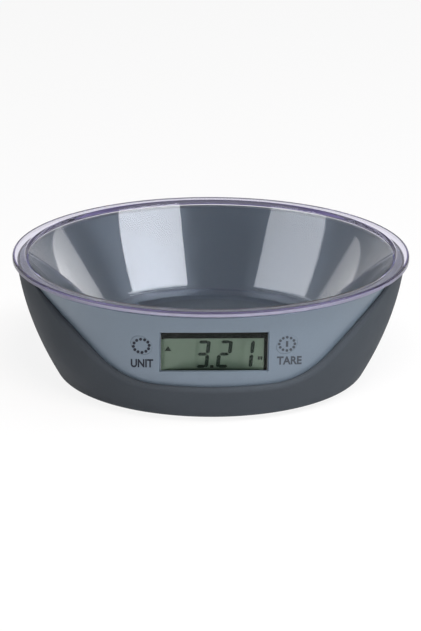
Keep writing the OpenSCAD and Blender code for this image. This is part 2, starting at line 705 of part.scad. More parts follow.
// Plunger of a push switch, which moves with its key
plunger_clear = 0.05;
plunger_in = 1.4;
module plunger(side) {
  color("black") on_key(side) translate([0, 0, -switch_top - plunger_in])
    cylinder(h = switch_top + plunger_in - key_wall_in - key_flange_t, r = plunger_r);
}
module unit_plunger() { plunger(-1); }
module tare_plunger() { plunger(1); }

// Bodies of the two push switches, each with the bore that its plunger slides in
module switch_bodies() {
  color("dimgray") for (s = [-1, 1]) on_key(s) difference() {
    span([-switch_w / 2, -switch_w / 2, -key_board_front], [switch_w / 2, switch_w / 2, -switch_top]);
    translate([0, 0, -switch_top - plunger_in - key_travel - 0.1])
      cylinder(h = plunger_in + key_travel + 1, r = plunger_r + plunger_clear);
  }
}

// Small circuit boards behind the keys
module key_boards() {
  color("seagreen") for (s = [-1, 1]) on_key(s) difference() {
    span([-key_board_half, key_board_low, -key_board_front - key_board_t],
         [key_board_half, key_board_high, -key_board_front]);
    for (p = key_posts) translate([p[0], p[1], -key_board_front - key_board_t - 1])
      cylinder(h = key_board_t + 2, r = small_screw_r + 0.2);
  }
}

// Flat leads from the key boards to the main board, bent behind its top edge
module key_leads() {
  half = 2.5;
  lead_t = 0.5;
  bend_out = 2;
  key_back = key_board_front + key_board_t;
  color("gainsboro") for (s = [-1, 1]) {
    hull() {
      on_key(s) span([-half, key_board_low, -key_back - lead_t], [half, key_board_low + 1.2, -key_back]);
      lead_bend(s, half, board_back + bend_out, lead_t);
    }
    hull() {
      lead_bend(s, half, board_back + bend_out, lead_t);
      on_display() span([s * lead_end_x - half, board_high - 2, -board_back - lead_t],
        [s * lead_end_x + half, board_high - 0.8, -board_back]);
    }
  }
}
lead_end_x = 38;
module lead_bend(s, half, depth, t) {
  on_display() span([s * lead_end_x - half, board_high + 1, -depth - t],
    [s * lead_end_x + half, board_high + 1 + t, -depth]);
}

platform_head_z = bowl_under - pad_t - head_t - 0.4;

// Weighing platform: a disc with a recess for its pad, ribs and an off-centre hub
module platform() {
  rib_h = platform_gap - platform_travel - 0.4;
  color("slategray") difference() {
    union() {
      translate([0, 0, platform_under]) cylinder(h = platform_t, r = platform_d / 2);
      translate([hub_x, 0, hub_z]) linear_extrude(platform_under - hub_z + 0.5) polygon(rounded([
        for (c = [[-1, -1], [1, -1], [1, 1], [-1, 1]]) [c[0] * hub_l / 2, c[1] * hub_w / 2, 2]]));
      difference() {
        translate([0, 0, platform_under - rib_h]) cylinder(h = rib_h + 0.5, r = platform_d / 2 - 3);
        translate([0, 0, platform_under - rib_h - 1]) cylinder(h = rib_h + 1, r = platform_d / 2 - 4.5);
      }
    }
    translate([0, 0, platform_top + pad_proud - pad_t]) cylinder(h = pad_t + 1, r = pad_d / 2 + pad_gap);
    for (x = cell_holes) translate([x, 0, hub_z - 1]) {
      cylinder(h = hub_h + platform_t + 2, r = cell_screw_r + screw_clear);
      translate([0, 0, platform_head_z - hub_z + 1]) cylinder(h = hub_h, r = head_r + screw_clear);
    }
  }
}

// Non-slip pad on the platform
module platform_pad() {
  color("darkgray") translate([0, 0, bowl_under - pad_t]) cylinder(h = pad_t, r = pad_d / 2);
}

// Screws from the platform down into the load cell's free end
cell_screw_bite = 7;
module platform_screws() {
  color("silver") for (x = cell_holes) translate([x, 0, 0]) {
    translate([0, 0, platform_head_z]) cylinder(h = head_t, r = head_r);
    translate([0, 0, cell_top - cell_screw_bite])
      cylinder(h = platform_head_z - cell_top + cell_screw_bite + 0.1, r = cell_screw_r);
  }
}

// Load cell: an aluminium beam thinned by two joined bores
module load_cell() {
  color("silver") difference() {
    span([-cell_l / 2, -cell_w / 2, cell_z], [cell_l / 2, cell_w / 2, cell_top]);
    for (s = [-1, 1]) translate([s * cell_bore_pitch / 2, cell_w / 2 + 1, cell_z + cell_h / 2])
      rotate([90, 0, 0]) cylinder(h = cell_w + 2, r = cell_bore_r);
    span([-cell_bore_pitch / 2, -cell_w / 2 - 1, cell_z + cell_h / 2 - 1],
         [cell_bore_pitch / 2, cell_w / 2 + 1, cell_z + cell_h / 2 + 1]);
    for (x = cell_holes) {
      translate([x, 0, cell_top - cell_screw_bite - 1]) cylinder(h = cell_h, r = cell_screw_r + 0.05);
      translate([-x, 0, cell_z - 1]) cylinder(h = cell_screw_bite + 2, r = cell_screw_r + 0.05);
    }
  }
}

// Strain gauges over and under the thin sections, beneath white sealant
module strain_gauges() {
  gauge_l = 24;
  inset = 1.2;
  color("white") for (z = [cell_z - gauge_t, cell_top])
    span([-gauge_l / 2, -cell_w / 2 + inset, z], [gauge_l / 2, cell_w / 2 - inset, z + gauge_t]);
}

// Spacers that let the middle of the load cell bend freely
module spacer(x, z, t) {
  color("gray") difference() {
    span([x - spacer_l / 2, -cell_w / 2, z], [x + spacer_l / 2, cell_w / 2, z + t]);
    for (d = [-1, 1]) translate([x + d * cell_hole_pitch / 2, 0, z - 1])
      cylinder(h = t + 2, r = cell_screw_r + screw_clear);
  }
}
module fixed_spacer() { spacer(-hub_x, floor_z, fixed_spacer_t); }
module free_spacer() { spacer(hub_x, cell_top, free_spacer_t); }

// Screws from below into the load cell's fixed end
module load_cell_screws() {
  color("silver") for (x = cell_holes) translate([-x, 0, 0]) {
    translate([0, 0, foot_proud + 0.1]) cylinder(h = head_t - 0.1, r = head_r);
    translate([0, 0, foot_proud + head_t - 0.1])
      cylinder(h = cell_z + cell_screw_bite - foot_proud - head_t, r = cell_screw_r);
  }
}

// Set screw that stops the load cell's free end when it is overloaded
module overload_screw() {
  start = foot_proud + 0.3;
  color("silver") translate([overload_x, 0, start]) cylinder(h = overload_top - start, r = overload_r);
}

// Where a lead meets the lower edge of the main board's back
lead_end_y = -panel_r(display_z) - board_low * sin(panel_lean) + board_back * cos(panel_lean);
lead_end_z = display_z + board_low * cos(panel_lean) + board_back * sin(panel_lean);
// Last points of a lead that rises behind the board and ends against it, drop below its edge
lead_rise = board_h / 4;
function lead_finish(x, r, drop) = [[x, lead_end_y + drop + r, lead_end_z - drop],
  [x, lead_end_y + r + lead_rise / 6, lead_end_z + lead_rise / 5],
  [x, lead_end_y + r / cos(panel_lean) - lead_rise * tan(panel_lean), lead_end_z + lead_rise]];

// Sheathed cable from the load cell's side to the main board
module load_cell_cable() {
  y0 = -cell_w / 2;
  z0 = cell_z + cell_h / 2;
  lie_z = floor_z + cable_r + 1;
  color("lightgray") tube(concat([[-3 * cable_r, y0, z0], [-3 * cable_r, y0 - cell_w / 2, z0 - cable_r],
    [-2 * cable_r, y0 - 1.5 * cell_w, lie_z + cable_r], [-2 * cable_r, y0 - 3 * cell_w, lie_z],
    [-2 * cable_r, lead_end_y + cell_w, lie_z + cable_r]],
    lead_finish(-4 * cable_r, cable_r, 3 * cable_r)), cable_r, 8);
}

// Two batteries side by side, head to tail
module batteries() {
  nub = 0.8;
  color("gold") for (i = [0, 1]) translate([0, battery_mid(i), battery_z])
    rotate([0, i == 0 ? 90 : -90, 0]) {
      translate([0, 0, -battery_l / 2]) cylinder(h = battery_l - nub, r = battery_d / 2);
      translate([0, 0, battery_l / 2 - nub - 0.1]) cylinder(h = nub + 0.1, r = 1.9);
    }
}
function battery_mid(i) = battery_y + battery_d * (i + 0.5) + battery_gap * i;

// Coil springs at the batteries' flat ends
spring_turns = 3;
module battery_springs() {
  wire = spring_wire_d / 2;
  start = battery_l / 2 + wire;
  end = battery_l / 2 + contact_room - wire;
  steps = 14 * spring_turns;
  color("silver") for (i = [0, 1]) {
    side = i == 0 ? -1 : 1;
    tube([for (k = [0:steps])
      let (f = k / steps, a = 360 * spring_turns * f, r = spring_small_r * (1 - f) + spring_big_r * f)
      [side * (start + (end - start) * f), battery_mid(i) + r * cos(a), battery_z + r * sin(a)]],
      wire, 6);
  }
}

// Contact plates at both ends, with a raised button towards each terminal
module battery_contacts() {
  half = battery_d / 2 - 1;
  x1 = box_in_x;
  color("silver") for (i = [0, 1]) {
    side = i == 0 ? 1 : -1;
    for (s = [-1, 1]) span([min(s * x1, s * (x1 - contact_t)), battery_mid(i) - half, battery_z - half],
      [max(s * x1, s * (x1 - contact_t)), battery_mid(i) + half, battery_z + half]);
    translate([side * battery_l / 2, battery_mid(i), battery_z]) rotate([0, side * 90, 0])
      cylinder(h = contact_room + 0.1, r = 2.4);
  }
}

// Red and black leads from the battery box, round the load cell's ends, to the main board
lead_z = battery_z + battery_d / 4;
module battery_leads() {
  lie_z = floor_z + 2 * lead_r;
  side_x = cell_l / 2 + 2 * boss_r;
  front_y = -3 * cell_w;
  for (s = [-1, 1]) color(s > 0 ? "red" : "black")
    tube(concat([[s * lead_x, door_y0, lead_z], [s * lead_x, door_y0 - box_wall - 2 * lead_r, lead_z],
      [s * lead_x * 1.3, cell_w * 1.2, lie_z + cell_w / 3], [s * side_x, cell_w / 2, lie_z],
      [s * side_x, -cell_w / 2, lie_z], [s * side_x * 0.7, front_y + cell_w / 2, lie_z],
      [s * cell_w, front_y - cell_w / 2, lie_z],
      [s * cell_w * 0.95, lead_end_y + cell_w, lie_z + 2 * lead_r]],
      lead_finish(s * cell_w * 0.95, lead_r, 4 * lead_r)), lead_r, 8);
}

// Battery door: it swings on two hooks under the body's floor and snaps shut at its tongue
module battery_door() {
  y0 = door_y0 + door_gap;
  y1 = door_y1 - door_gap;
  hook_z = floor_z + door_gap;
  color("dimgray") difference() {
    union() {
      span([-door_x + door_gap, y0, foot_proud], [door_x - door_gap, y1, foot_proud + door_t]);
      for (x = [-hook_x, hook_x]) {
        span([x - hook_w / 2, y0, foot_proud], [x + hook_w / 2, y0 + hook_t, hook_z + hook_t]);
        span([x - hook_w / 2, door_y0 - hook_l, hook_z], [x + hook_w / 2, y0 + hook_t, hook_z + hook_t]);
      }
      translate([-tongue_w / 2, y1 - door_t / 4, foot_proud + door_t / 2]) rotate([0, 90, 0])
        cylinder(h = tongue_w, r = door_t / 4 + bead_out);
    }
    for (x = [-1, 1] * (tongue_w + tongue_slot) / 2)
      span([x - tongue_slot / 2, y1 - tongue_l, foot_proud - 1],
           [x + tongue_slot / 2, y1 + 1, foot_proud + door_t + 1]);
  }
}

// Rubber feet, each held by a plug through the floor
module rubber_feet() {
  color("dimgray") at_feet() {
    cylinder(h = foot_proud + foot_pocket, r = foot_d / 2);
    cylinder(h = floor_z + 0.2, r = foot_plug_r - 0.05);
    translate([0, 0, floor_z + 0.1]) cylinder(h = 1.4, r1 = foot_plug_r + 0.9, r2 = foot_plug_r - 0.6);
  }
}

// Case screws from below, through the shell's bosses into the housing's
module case_screws() {
  color("silver") at_case_screws() {
    translate([0, 0, case_head_z]) cylinder(h = case_head_t, r = case_head_r);
    translate([0, 0, case_head_z + case_head_t - 0.1]) cylinder(h = case_screw_l, r = case_screw_r);
  }
}

bowl();
lower_shell();
upper_housing();
display_window();
lcd_gasket();
lcd_panel();
lcd_holder();
connector_strip();
main_board();
controller_chip();
board_screws();
unit_key();
tare_key();
unit_plunger();
tare_plunger();
key_boards();
switch_bodies();
key_board_screws();
key_leads();
platform();
platform_pad();
platform_screws();
load_cell();
strain_gauges();
fixed_spacer();
free_spacer();
load_cell_screws();
overload_screw();
load_cell_cable();
batteries();
battery_springs();
battery_contacts();
battery_leads();
battery_door();
rubber_feet();
case_screws();
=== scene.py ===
"""Kitchen scale with a clear bowl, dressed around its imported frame. Metres, +Z up, display towards -Y."""

from math import asin, atan2, cos, hypot, pi, radians, sin, sqrt, tan

import bmesh
import bpy
from bpy.props import FloatProperty, FloatVectorProperty, IntProperty, PointerProperty, StringProperty
from mathutils import Matrix, Vector


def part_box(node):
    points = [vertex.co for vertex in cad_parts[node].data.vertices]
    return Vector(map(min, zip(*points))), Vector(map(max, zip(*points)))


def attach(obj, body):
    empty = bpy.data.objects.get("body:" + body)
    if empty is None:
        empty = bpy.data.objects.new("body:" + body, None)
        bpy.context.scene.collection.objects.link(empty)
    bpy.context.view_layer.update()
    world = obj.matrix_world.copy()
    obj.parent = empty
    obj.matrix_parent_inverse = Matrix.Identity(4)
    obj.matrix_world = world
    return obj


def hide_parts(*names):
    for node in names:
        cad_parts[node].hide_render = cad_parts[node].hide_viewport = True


bl_info = {
    "name": "Kitchen Scale",
    "version": (1, 0, 0),
    "blender": (4, 5, 0),
    "location": "3D View > Sidebar > Kitchen Scale",
    "description": "Dresses the packed frame of a kitchen scale with a clear bowl",
    "category": "Add Mesh",
}

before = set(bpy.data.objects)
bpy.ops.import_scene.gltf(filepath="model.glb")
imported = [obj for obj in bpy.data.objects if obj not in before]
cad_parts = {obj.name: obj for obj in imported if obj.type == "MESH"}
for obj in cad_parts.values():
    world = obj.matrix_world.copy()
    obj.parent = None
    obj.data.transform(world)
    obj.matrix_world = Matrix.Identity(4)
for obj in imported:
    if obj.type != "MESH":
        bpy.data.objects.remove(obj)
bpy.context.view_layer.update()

BOWL_LOW, BOWL_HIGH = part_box("bowl")
SHELL_LOW, SHELL_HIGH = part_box("lower_shell")
HOUSING_LOW, HOUSING_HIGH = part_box("upper_housing")
DOOR_LOW, DOOR_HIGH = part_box("battery_door")
RIM_Z, PANEL_TOP_R, PANEL_LOW_Z = HOUSING_HIGH.z, HOUSING_HIGH.x, HOUSING_LOW.z
UNDER_Z, SHELL_TOP_R = SHELL_LOW.z, SHELL_HIGH.x
BOWL_UNDER, FLANGE_R, FLANGE_Z = BOWL_LOW.z, BOWL_HIGH.x, BOWL_HIGH.z
TINY = 1e-6

# The underside: what stands around the axis, and the battery compartment
FOOT_ANGLES, FOOT_REACH, FOOT_R = (45, 135, 225, 315), 0.076, 0.0075
CASE_ANGLES, CASE_REACH, CASE_HEAD_R = (20, 160, 200, 340, 250, 290), 0.064, 0.00285
CASE_HEAD_Z, CASE_TIP_Z, CASE_SHAFT_R = (0.0055, 0.00745), 0.01935, 0.0015
CELL_SCREWS_X, CELL_HEAD_R, CELL_HEAD_Z = (-0.035, -0.020), 0.0036, (0.0021, 0.0038)
CELL_TIP_Z, CELL_SHAFT_R = 0.013, 0.002
OVERLOAD_X, OVERLOAD_R = 0.035, 0.00205
FLOOR_TOP, THROUGH_FLOOR = 0.0045, 0.0063
DOOR_GAP = 0.0003
ROOM_LOW, ROOM_HIGH = (DOOR_LOW.x - DOOR_GAP, 0.0275), (DOOR_HIGH.x + DOOR_GAP, 0.0500)
ROOM_TOP, ROOM_WALL = 0.0155, 0.0016
HOOKS_X, HOOK_HALF_W, HOOK_TOP = (-0.016, 0.016), 0.0043, 0.0081
NOTCH_R, NOTCH_DEPTH = 0.012, 0.0012
BOSS_R, BOSS_BORE_R, BOSS_RECESS_R, BOSS_TOP = 0.0046, 0.0017, 0.00305, 0.0115


# Settings that a user would change

def length(name, description, default):
    """A length in metres."""
    return FloatProperty(name=name, description=description, default=default, min=0, unit="LENGTH")


def angle(name, description, default):
    """An angle, shown in degrees."""
    return FloatProperty(name=name, description=description, default=radians(default), subtype="ANGLE")


def tint(name, description, default):
    """A linear colour."""
    return FloatVectorProperty(name=name, description=description, default=default, size=3,
                               min=0, max=1, subtype="COLOR")


class BowlSettings(bpy.types.PropertyGroup):
    """Sizes and tint of the clear bowl"""
    floor_r: length("Floor radius", "Radius of the flat inside floor, to its sharp corner", 0.076)
    flange_w: length("Flange width", "From the outer edge to the inside wall", 0.008)
    flange_t: length("Flange thickness", "Thickness of the flat flange", 0.003)
    wall_t: length("Wall thickness", "Thickness of the sloped wall", 0.002)
    floor_t: length("Floor thickness", "Thickness of the floor", 0.0025)
    mouth_round: length("Mouth rounding", "Between the flange's top and the inside wall", 0.003)
    floor_round: length("Floor fillet", "Between the inside wall and the floor", 0.004)
    edge_round: length("Edge rounding", "Of the flange's outer edges", 0.0007)
    tint: tint("Tint", "Colour that a long way through the plastic takes on", (0.12, 0.06, 0.94))
    # Painted refraction: the deep violet line along the mouth, shown only at a low angle.
    mouth_painted_refraction: tint("Mouth tint", "Colour along the mouth, seen at a low angle", (0.045, 0.035, 0.42))
    flange_tint: tint("Flange tint", "Colour of the flange's top", (0.84, 0.81, 0.97))
    edge_tint: tint("Edge tint", "Colour of the frosted outer edge", (0.28, 0.27, 0.38))
    # Painted refraction: the dark line along the flange's top outer edge, shown only at some angles.
    brink_painted_refraction: tint("Brink tint", "Colour of the line along the flange's top edge", (0.04, 0.03, 0.11))
    density: FloatProperty(name="Density", description="How fast the tint builds up, per metre",
                           default=7, min=0)


class ShellSettings(bpy.types.PropertyGroup):
    """Sizes and colour of the dark outer shell"""
    mid_in: length("Middle pull-in", "How far the wall's middle lies inside its top radius", 0.0043)
    low_in: length("Lower pull-in", "How far the wall's lower end lies inside its top radius", 0.0232)
    corner_r: length("Lower corner", "Radius between the wall and the underside", 0.006)
    wall_t: length("Wall thickness", "Below the front panel", 0.0026)
    floor_t: length("Floor thickness", "Thickness of the underside", 0.0025)
    gap: length("Gap", "Between the shell and the panel nested in it", 0.0003)
    color: tint("Colour", "Satin dark plastic", (0.051, 0.060, 0.071))


class PanelSettings(bpy.types.PropertyGroup):
    """Sizes and colour of the silver panel and the well, whose darker colour is painted shade"""
    lean: angle("Lean", "Outward lean of the panel from the vertical", 19)
    wall_t: length("Wall thickness", "Thickness of the panel", 0.002)
    height: length("Height", "From the rim to the panel's lower edge", 0.0475)
    half_w: length("Half width", "Of the lower edge, to its sharp corner", 0.056)
    side_angle: angle("Side angle", "Of the panel's side edges above the horizontal", 44)
    corner_r: length("Corner radius", "Of the panel's outline", 0.05)
    tuck: length("Tuck", "How far the panel reaches behind the shell's edge", 0.004)
    skirt_h: length("Skirt", "Height of the rim's outer band behind the panel", 0.004)
    rim_t: length("Rim thickness", "Thickness of the rim around the well", 0.002)
    well_gap: length("Well gap", "Radial gap between bowl and well", 0.0007)
    well_t: length("Well wall", "Wall thickness of the well", 0.0014)
    well_floor_t: length("Well floor", "Thickness of the well's floor", 0.0018)
    well_floor_z: length("Well floor height", "Height of the well's floor above the table", 0.0226)
    color: tint("Colour", "Silver plastic", (0.144, 0.187, 0.236))
    # Painted shade: the well's inside and the rim's inner part take this darker colour in place of shade.
    well_shade_color: tint("Well colour", "Painted shade inside the well", (0.101, 0.133, 0.175))


class DisplaySettings(bpy.types.PropertyGroup):
    """Opening, readout and colours of the display"""
    drop: length("Drop", "From the rim down to the display's centre", 0.023)
    sight: angle("Sight", "Downward slope of the line of sight that the opening follows", 17)
    half_w: length("Half width", "Of the opening", 0.031)
    half_h: length("Half height", "Of the opening, across the line of sight", 0.0112)
    chamfer: length("Chamfer", "Width of the bright edge around the opening", 0.0008)
    frame_w: length("Frame", "Wall around the opening behind the panel", 0.0022)
    readout: StringProperty(name="Readout", description="Digits, with at most one point", default="3.21")
    digit_h: length("Digit height", "Height of one digit on the liquid crystal panel", 0.0200)
    glass: tint("Glass", "Liquid crystal panel at rest", (0.142, 0.204, 0.152))
    segment: tint("Segment", "Lit segment", (0.010, 0.020, 0.014))


class KeySettings(bpy.types.PropertyGroup):
    """Places and prints of the two keys"""
    around: angle("Angle", "Around the body from the display to each key", 22.9)
    drop: length("Drop", "From the rim down to the keys' centres", 0.0215)
    cap_r: length("Cap radius", "Radius of each key's cap", 0.0066)
    gap: length("Gap", "Between a cap and its hole", 0.0001)
    ring_w: length("Ring width", "Width of the ellipse of dots", 0.0092)
    ring_h: length("Ring height", "Height of the ellipse of dots, across the line of sight", 0.0078)
    dots: IntProperty(name="Dots", description="Dots in each key's ring", default=12, min=3)
    faded_ink: tint("Faded ink", "Colour of the right key's lighter print", (0.050, 0.058, 0.072))
    ink: tint("Ink", "Colour of the print", (0.012, 0.014, 0.024))


class StageSettings(bpy.types.PropertyGroup):
    """Camera, light and floor"""
    distance: length("Distance", "From the camera to the bowl's rim", 2.0)
    elevation: angle("Elevation", "Of the camera above the rim", 16.98)
    azimuth: angle("Azimuth", "Of the camera around the object", -1.2)
    pitch: angle("Pitch", "Downward look of the camera", 18.09)
    roll: angle("Roll", "Turn of the camera about its line of sight", 0.15)
    lens: FloatProperty(name="Lens", description="Focal length in millimetres", default=188.4)
    fill: FloatProperty(name="Fill", description="Brightness of the surrounding light", default=0.20)


def settings(name):
    """One of the property groups of the scene."""
    return getattr(bpy.context.scene, "scale_" + name)


# Shapes

def rounded(points, step=radians(8)):
    """Closed outline in (r, z) whose corners (r, z, radius) are rounded."""
    outline = []
    for i, (r, z, radius) in enumerate(points):
        here = Vector((r, z))
        if radius == 0:
            outline.append(here)
            continue
        u = (Vector(points[i - 1][:2]) - here).normalized()
        v = (Vector(points[(i + 1) % len(points)][:2]) - here).normalized()
        half = u.angle(v) / 2
        centre = here + (u + v).normalized() * radius / sin(half)
        start = here + u * radius / tan(half) - centre
        end = here + v * radius / tan(half) - centre
        turn = atan2(start.x * end.y - start.y * end.x, start.dot(end))
        count = max(3, int(abs(turn) / step))
        for k in range(count + 1):
            a = turn * k / count
            outline.append(centre + Matrix.Rotation(a, 2) @ start)
    return outline


def held(outline, room=0.0004):
    """Closed outline in (r, z) with a point near both ends of each long side, which keeps flats flat."""
    points = []
    for i, here in enumerate(outline):
        points.append(here)
        after = outline[(i + 1) % len(outline)]
        side = after - here
        if side.length > 0.003 and max(here.x, after.x) >= TINY:
            step = side.normalized() * room
            points += [here + step, here + side - step]
    return points


def revolve(outline, steps):
    """Closed outline in (r, z) spun about the vertical axis, its rows counted in the layer 'row'."""
    bm = bmesh.new()
    row = bm.verts.layers.int.new("row")
    ring = [bm.verts.new((p[0], 0, p[1])) for p in outline]
    for i, v in enumerate(ring):
        v[row] = i
    edges = [bm.edges.new((a, b)) for a, b in ((ring[i - 1], ring[i]) for i in range(len(ring)))
             if (b.co - a.co).length > 0 and max(a.co.x, b.co.x) >= TINY]
    bmesh.ops.spin(bm, geom=ring + edges, axis=(0, 0, 1), cent=(0, 0, 0), angle=2 * pi, steps=steps,
                   use_merge=True)
    bmesh.ops.remove_doubles(bm, verts=bm.verts, dist=1e-7)
    bmesh.ops.recalc_face_normals(bm, faces=bm.faces)
    return bm


def around(co):
    """Angle of a point about the axis, 0 at the display and growing towards +X."""
    return atan2(co.x, -co.y)


def polar(r, phi, z):
    """Point at an angle from the display."""
    return Vector((r * sin(phi), -r * cos(phi), z))


def verts_of(geometry):
    """The vertices among what a bmesh operator gives back."""
    return [g for g in geometry if isinstance(g, bmesh.types.BMVert)]


def linked(name, data):
    """A new object of the scene."""
    obj = bpy.data.objects.new(name, data)
    bpy.context.scene.collection.objects.link(obj)
    return obj


def meshed(bm, name, *materials):
    """Turns a bmesh into an object of the scene."""
    mesh = bpy.data.meshes.new(name)
    bm.to_mesh(mesh)
    bm.free()
    for material in materials:
        mesh.materials.append(material)
    return linked(name, mesh)


def piece(bm, name, body, look, replaced=(), crease=32):
    """Makes a bmesh a finished piece that rides on a body of the frame."""
    for face in bm.faces:
        face.smooth = True
    for edge in bm.edges:
        edge.smooth = len(edge.link_faces) != 2 or edge.calc_face_angle(0) < radians(crease)
    obj = meshed(bm, name, look)
    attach(obj, body)
    if replaced:
        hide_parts(*replaced)


def dress(node, look):
    """Gives a solid of the frame its material."""
    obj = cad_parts[node]
    obj.data.materials.clear()
    obj.data.materials.append(look)


def boolean(bm, tools):
    """The bmesh with the tools' closed shapes cut out of it."""
    objects = [meshed(source, "boolean") for source in (bm, tools)]
    modifier = objects[0].modifiers.new("boolean", "BOOLEAN")
    modifier.object = objects[1]
    modifier.operation = "DIFFERENCE"
    modifier.solver = "EXACT"
    evaluated = objects[0].evaluated_get(bpy.context.evaluated_depsgraph_get())
    result = bmesh.new()
    result.from_mesh(evaluated.to_mesh())
    evaluated.to_mesh_clear()
    for obj in objects:
        mesh = obj.data
        bpy.data.objects.remove(obj)
        bpy.data.meshes.remove(mesh)
    return result


def add_rod(bm, place, radius, low, high, segments=64):
    """Adds a closed cylinder along the place's own z from low to high."""
    bmesh.ops.create_cone(bm, cap_ends=True, segments=segments, radius1=radius, radius2=radius,
                          depth=high - low, matrix=place @ Matrix.Translation((0, 0, (low + high) / 2)))


def add_block(bm, low, high):
    """Adds a closed block between two corners."""
    low, high = Vector(low), Vector(high)
    place = Matrix.Translation((low + high) / 2) @ Matrix.Diagonal((*(high - low), 1))
    return bmesh.ops.create_cube(bm, size=1, matrix=place)["verts"]


def block(low, high):
    """A closed block between two corners."""
    bm = bmesh.new()
    add_block(bm, low, high)
    return bm


def circle_of(angles, reach):
    """Places on a circle about the axis."""
    return [Matrix.Rotation(radians(a), 4, "Z") @ Matrix.Translation((reach, 0, 0)) for a in angles]


def repeat(bm, places):
    """Copies all of a bmesh to several places and drops the original."""
    first = list(bm.verts) + list(bm.edges) + list(bm.faces)
    for place in places:
        made = bmesh.ops.duplicate(bm, geom=first)["geom"]
        bmesh.ops.transform(bm, matrix=place, verts=verts_of(made))
    bmesh.ops.delete(bm, geom=verts_of(first), context="VERTS")


def screw(head_r, head_z, shaft_r, tip_z):
    """A screw with a crosshead recess, its head down."""
    low, high = head_z
    soft = 0.0004
    bm = revolve(rounded([(0, low, 0), (head_r, low, soft), (head_r, high, 0), (shaft_r, high, 0),
                          (shaft_r, tip_z, soft), (0, tip_z, 0)]), 48)
    arm, half = head_r * 0.55, head_r * 0.11
    for x, y in ((arm, half), (half, arm)):
        bm = boolean(bm, block((-x, -y, low - 0.001), (x, y, low + (high - low) * 0.6)))
    return bm


# Surfaces that several pieces share

class Forms:
    """Surfaces that several pieces share, worked out once from the settings."""

    def __init__(self):
        b, s, p, d = (settings(name) for name in ("bowl", "shell", "panel", "display"))
        self.floor_z = BOWL_UNDER + b.floor_t
        self.floor_r = b.floor_r
        self.bowl_slope = (FLANGE_R - b.flange_w - b.floor_r) / (FLANGE_Z - self.floor_z)
        skew = sqrt(1 + self.bowl_slope ** 2)
        self.bowl_wall = b.wall_t * skew
        self.well_gap = p.well_gap
        self.well_wall = p.well_t * skew
        self.lean = p.lean
        self.rise = tan(p.lean)
        self.outline_low = RIM_Z - p.height
        self.outline_half = p.half_w
        self.outline_angle = p.side_angle
        self.outline_r = p.corner_r
        self.low_lean = atan2(2 * (s.low_in - s.mid_in), RIM_Z - UNDER_Z - s.corner_r / 2)
        self.low_r = SHELL_TOP_R - s.low_in
        self.low_z = UNDER_Z + s.corner_r * (1 - sin(self.low_lean))
        self.mid_r = SHELL_TOP_R - s.mid_in
        self.gap = s.gap
        knee_up, knee_out = 0.0034, 0.0016
        self.knee_z = self.low_z + knee_up
        self.knee_r = self.low_r - s.wall_t + knee_out
        self.centre_z = RIM_Z - d.drop
        self.centre = polar(self.panel_r(self.centre_z), 0, self.centre_z)
        self.inward = Vector((0, cos(d.sight), -sin(d.sight)))
        self.upward = Vector((0, sin(d.sight), cos(d.sight)))
        self.depth = Vector((0, cos(p.lean), sin(p.lean)))
        self.facing = Matrix.Rotation(pi / 2 - d.sight, 4, "X")

    def from_sight(self, x, h):
        """A point of the plane across the line of sight, x beside and h above the display's centre."""
        return self.centre + Vector((x, 0, 0)) + self.upward * h

    def on_sight(self, point):
        """Where a point is seen in the plane across the line of sight."""
        off = point - self.centre
        return Vector((off.x, off.dot(self.upward)))

    def bowl_in_r(self, z):
        """Inside radius of the bowl's wall."""
        return self.floor_r + (z - self.floor_z) * self.bowl_slope

    def well_in_r(self, z):
        """Inside radius of the well, a gap away from the bowl."""
        return self.bowl_in_r(z) + self.bowl_wall + self.well_gap

    def well_out_r(self, z):
        """Outside radius of the well."""
        return self.well_in_r(z) + self.well_wall

    def panel_r(self, z):
        """Radius of the panel's outer cone."""
        return PANEL_TOP_R - (RIM_Z - z) * self.rise

    def outline(self, x, grow=0.0):
        """Height of the panel's outline at a distance x from the middle, seen from the front."""
        low = self.outline_low - grow
        radius = self.outline_r + grow
        turn = self.outline_angle
        bend = self.outline_half + (grow - radius) * tan(turn / 2)
        x = abs(x)
        if x <= bend:
            return low
        if x < bend + radius * sin(turn):
            return low + radius - sqrt(radius ** 2 - (x - bend) ** 2)
        return low + radius * (1 - cos(turn)) + (x - bend - radius * sin(turn)) * tan(turn)

    def outline_slope(self, x):
        """Slope angle of the panel's outline at a distance x from the middle."""
        step = 1e-5
        return atan2(self.outline(abs(x) + step) - self.outline(x), step)

    def edge_height(self, radius_at, phi, grow=0.0):
        """Height at which the panel's outline crosses a surface of revolution at an angle."""
        if abs(phi) >= pi / 2:
            return RIM_Z
        z = RIM_Z
        rounds = 30
        for _ in range(rounds):
            z = min(RIM_Z, self.outline(radius_at(z) * sin(phi), grow))
        return z

    def shell_out_r(self, z):
        """Outer radius of the shell's side wall: a smooth curve from the rim to the lower corner."""
        t = max(0.0, (RIM_Z - z) / (RIM_Z - self.low_z))
        return (1 - t) ** 2 * SHELL_TOP_R + 2 * t * (1 - t) * self.mid_r + t * t * self.low_r

    def shell_in_r(self, z):
        """Inner radius of the shell's side wall."""
        cone = self.panel_r(max(z, PANEL_LOW_Z)) + self.gap
        if z >= PANEL_LOW_Z:
            return cone
        return self.knee_r + (cone - self.knee_r) * max(0.0, (z - self.knee_z) / (PANEL_LOW_Z - self.knee_z))

    def onto_panel(self, point, outward, proud=0.0):
        """Where a line through a point meets the panel's cone, raised by proud."""
        point = Vector(point)
        for _ in range(8):
            point -= outward * (hypot(point.x, point.y) - self.panel_r(point.z)) * cos(self.lean)
        flat = Vector((point.x, point.y, 0)).normalized() * cos(self.lean)
        return point + (flat - Vector((0, 0, sin(self.lean)))) * proud


# Prints

def key_place(side):
    """Frame of a key: x across, y up the slope, z out of the panel."""
    k = settings("keys")
    f = Forms()
    z = RIM_Z - k.drop
    return (Matrix.Rotation(side * k.around, 4, "Z") @ Matrix.Translation((0, -f.panel_r(z), z))
            @ Matrix.Rotation(pi / 2 + f.lean, 4, "X"))


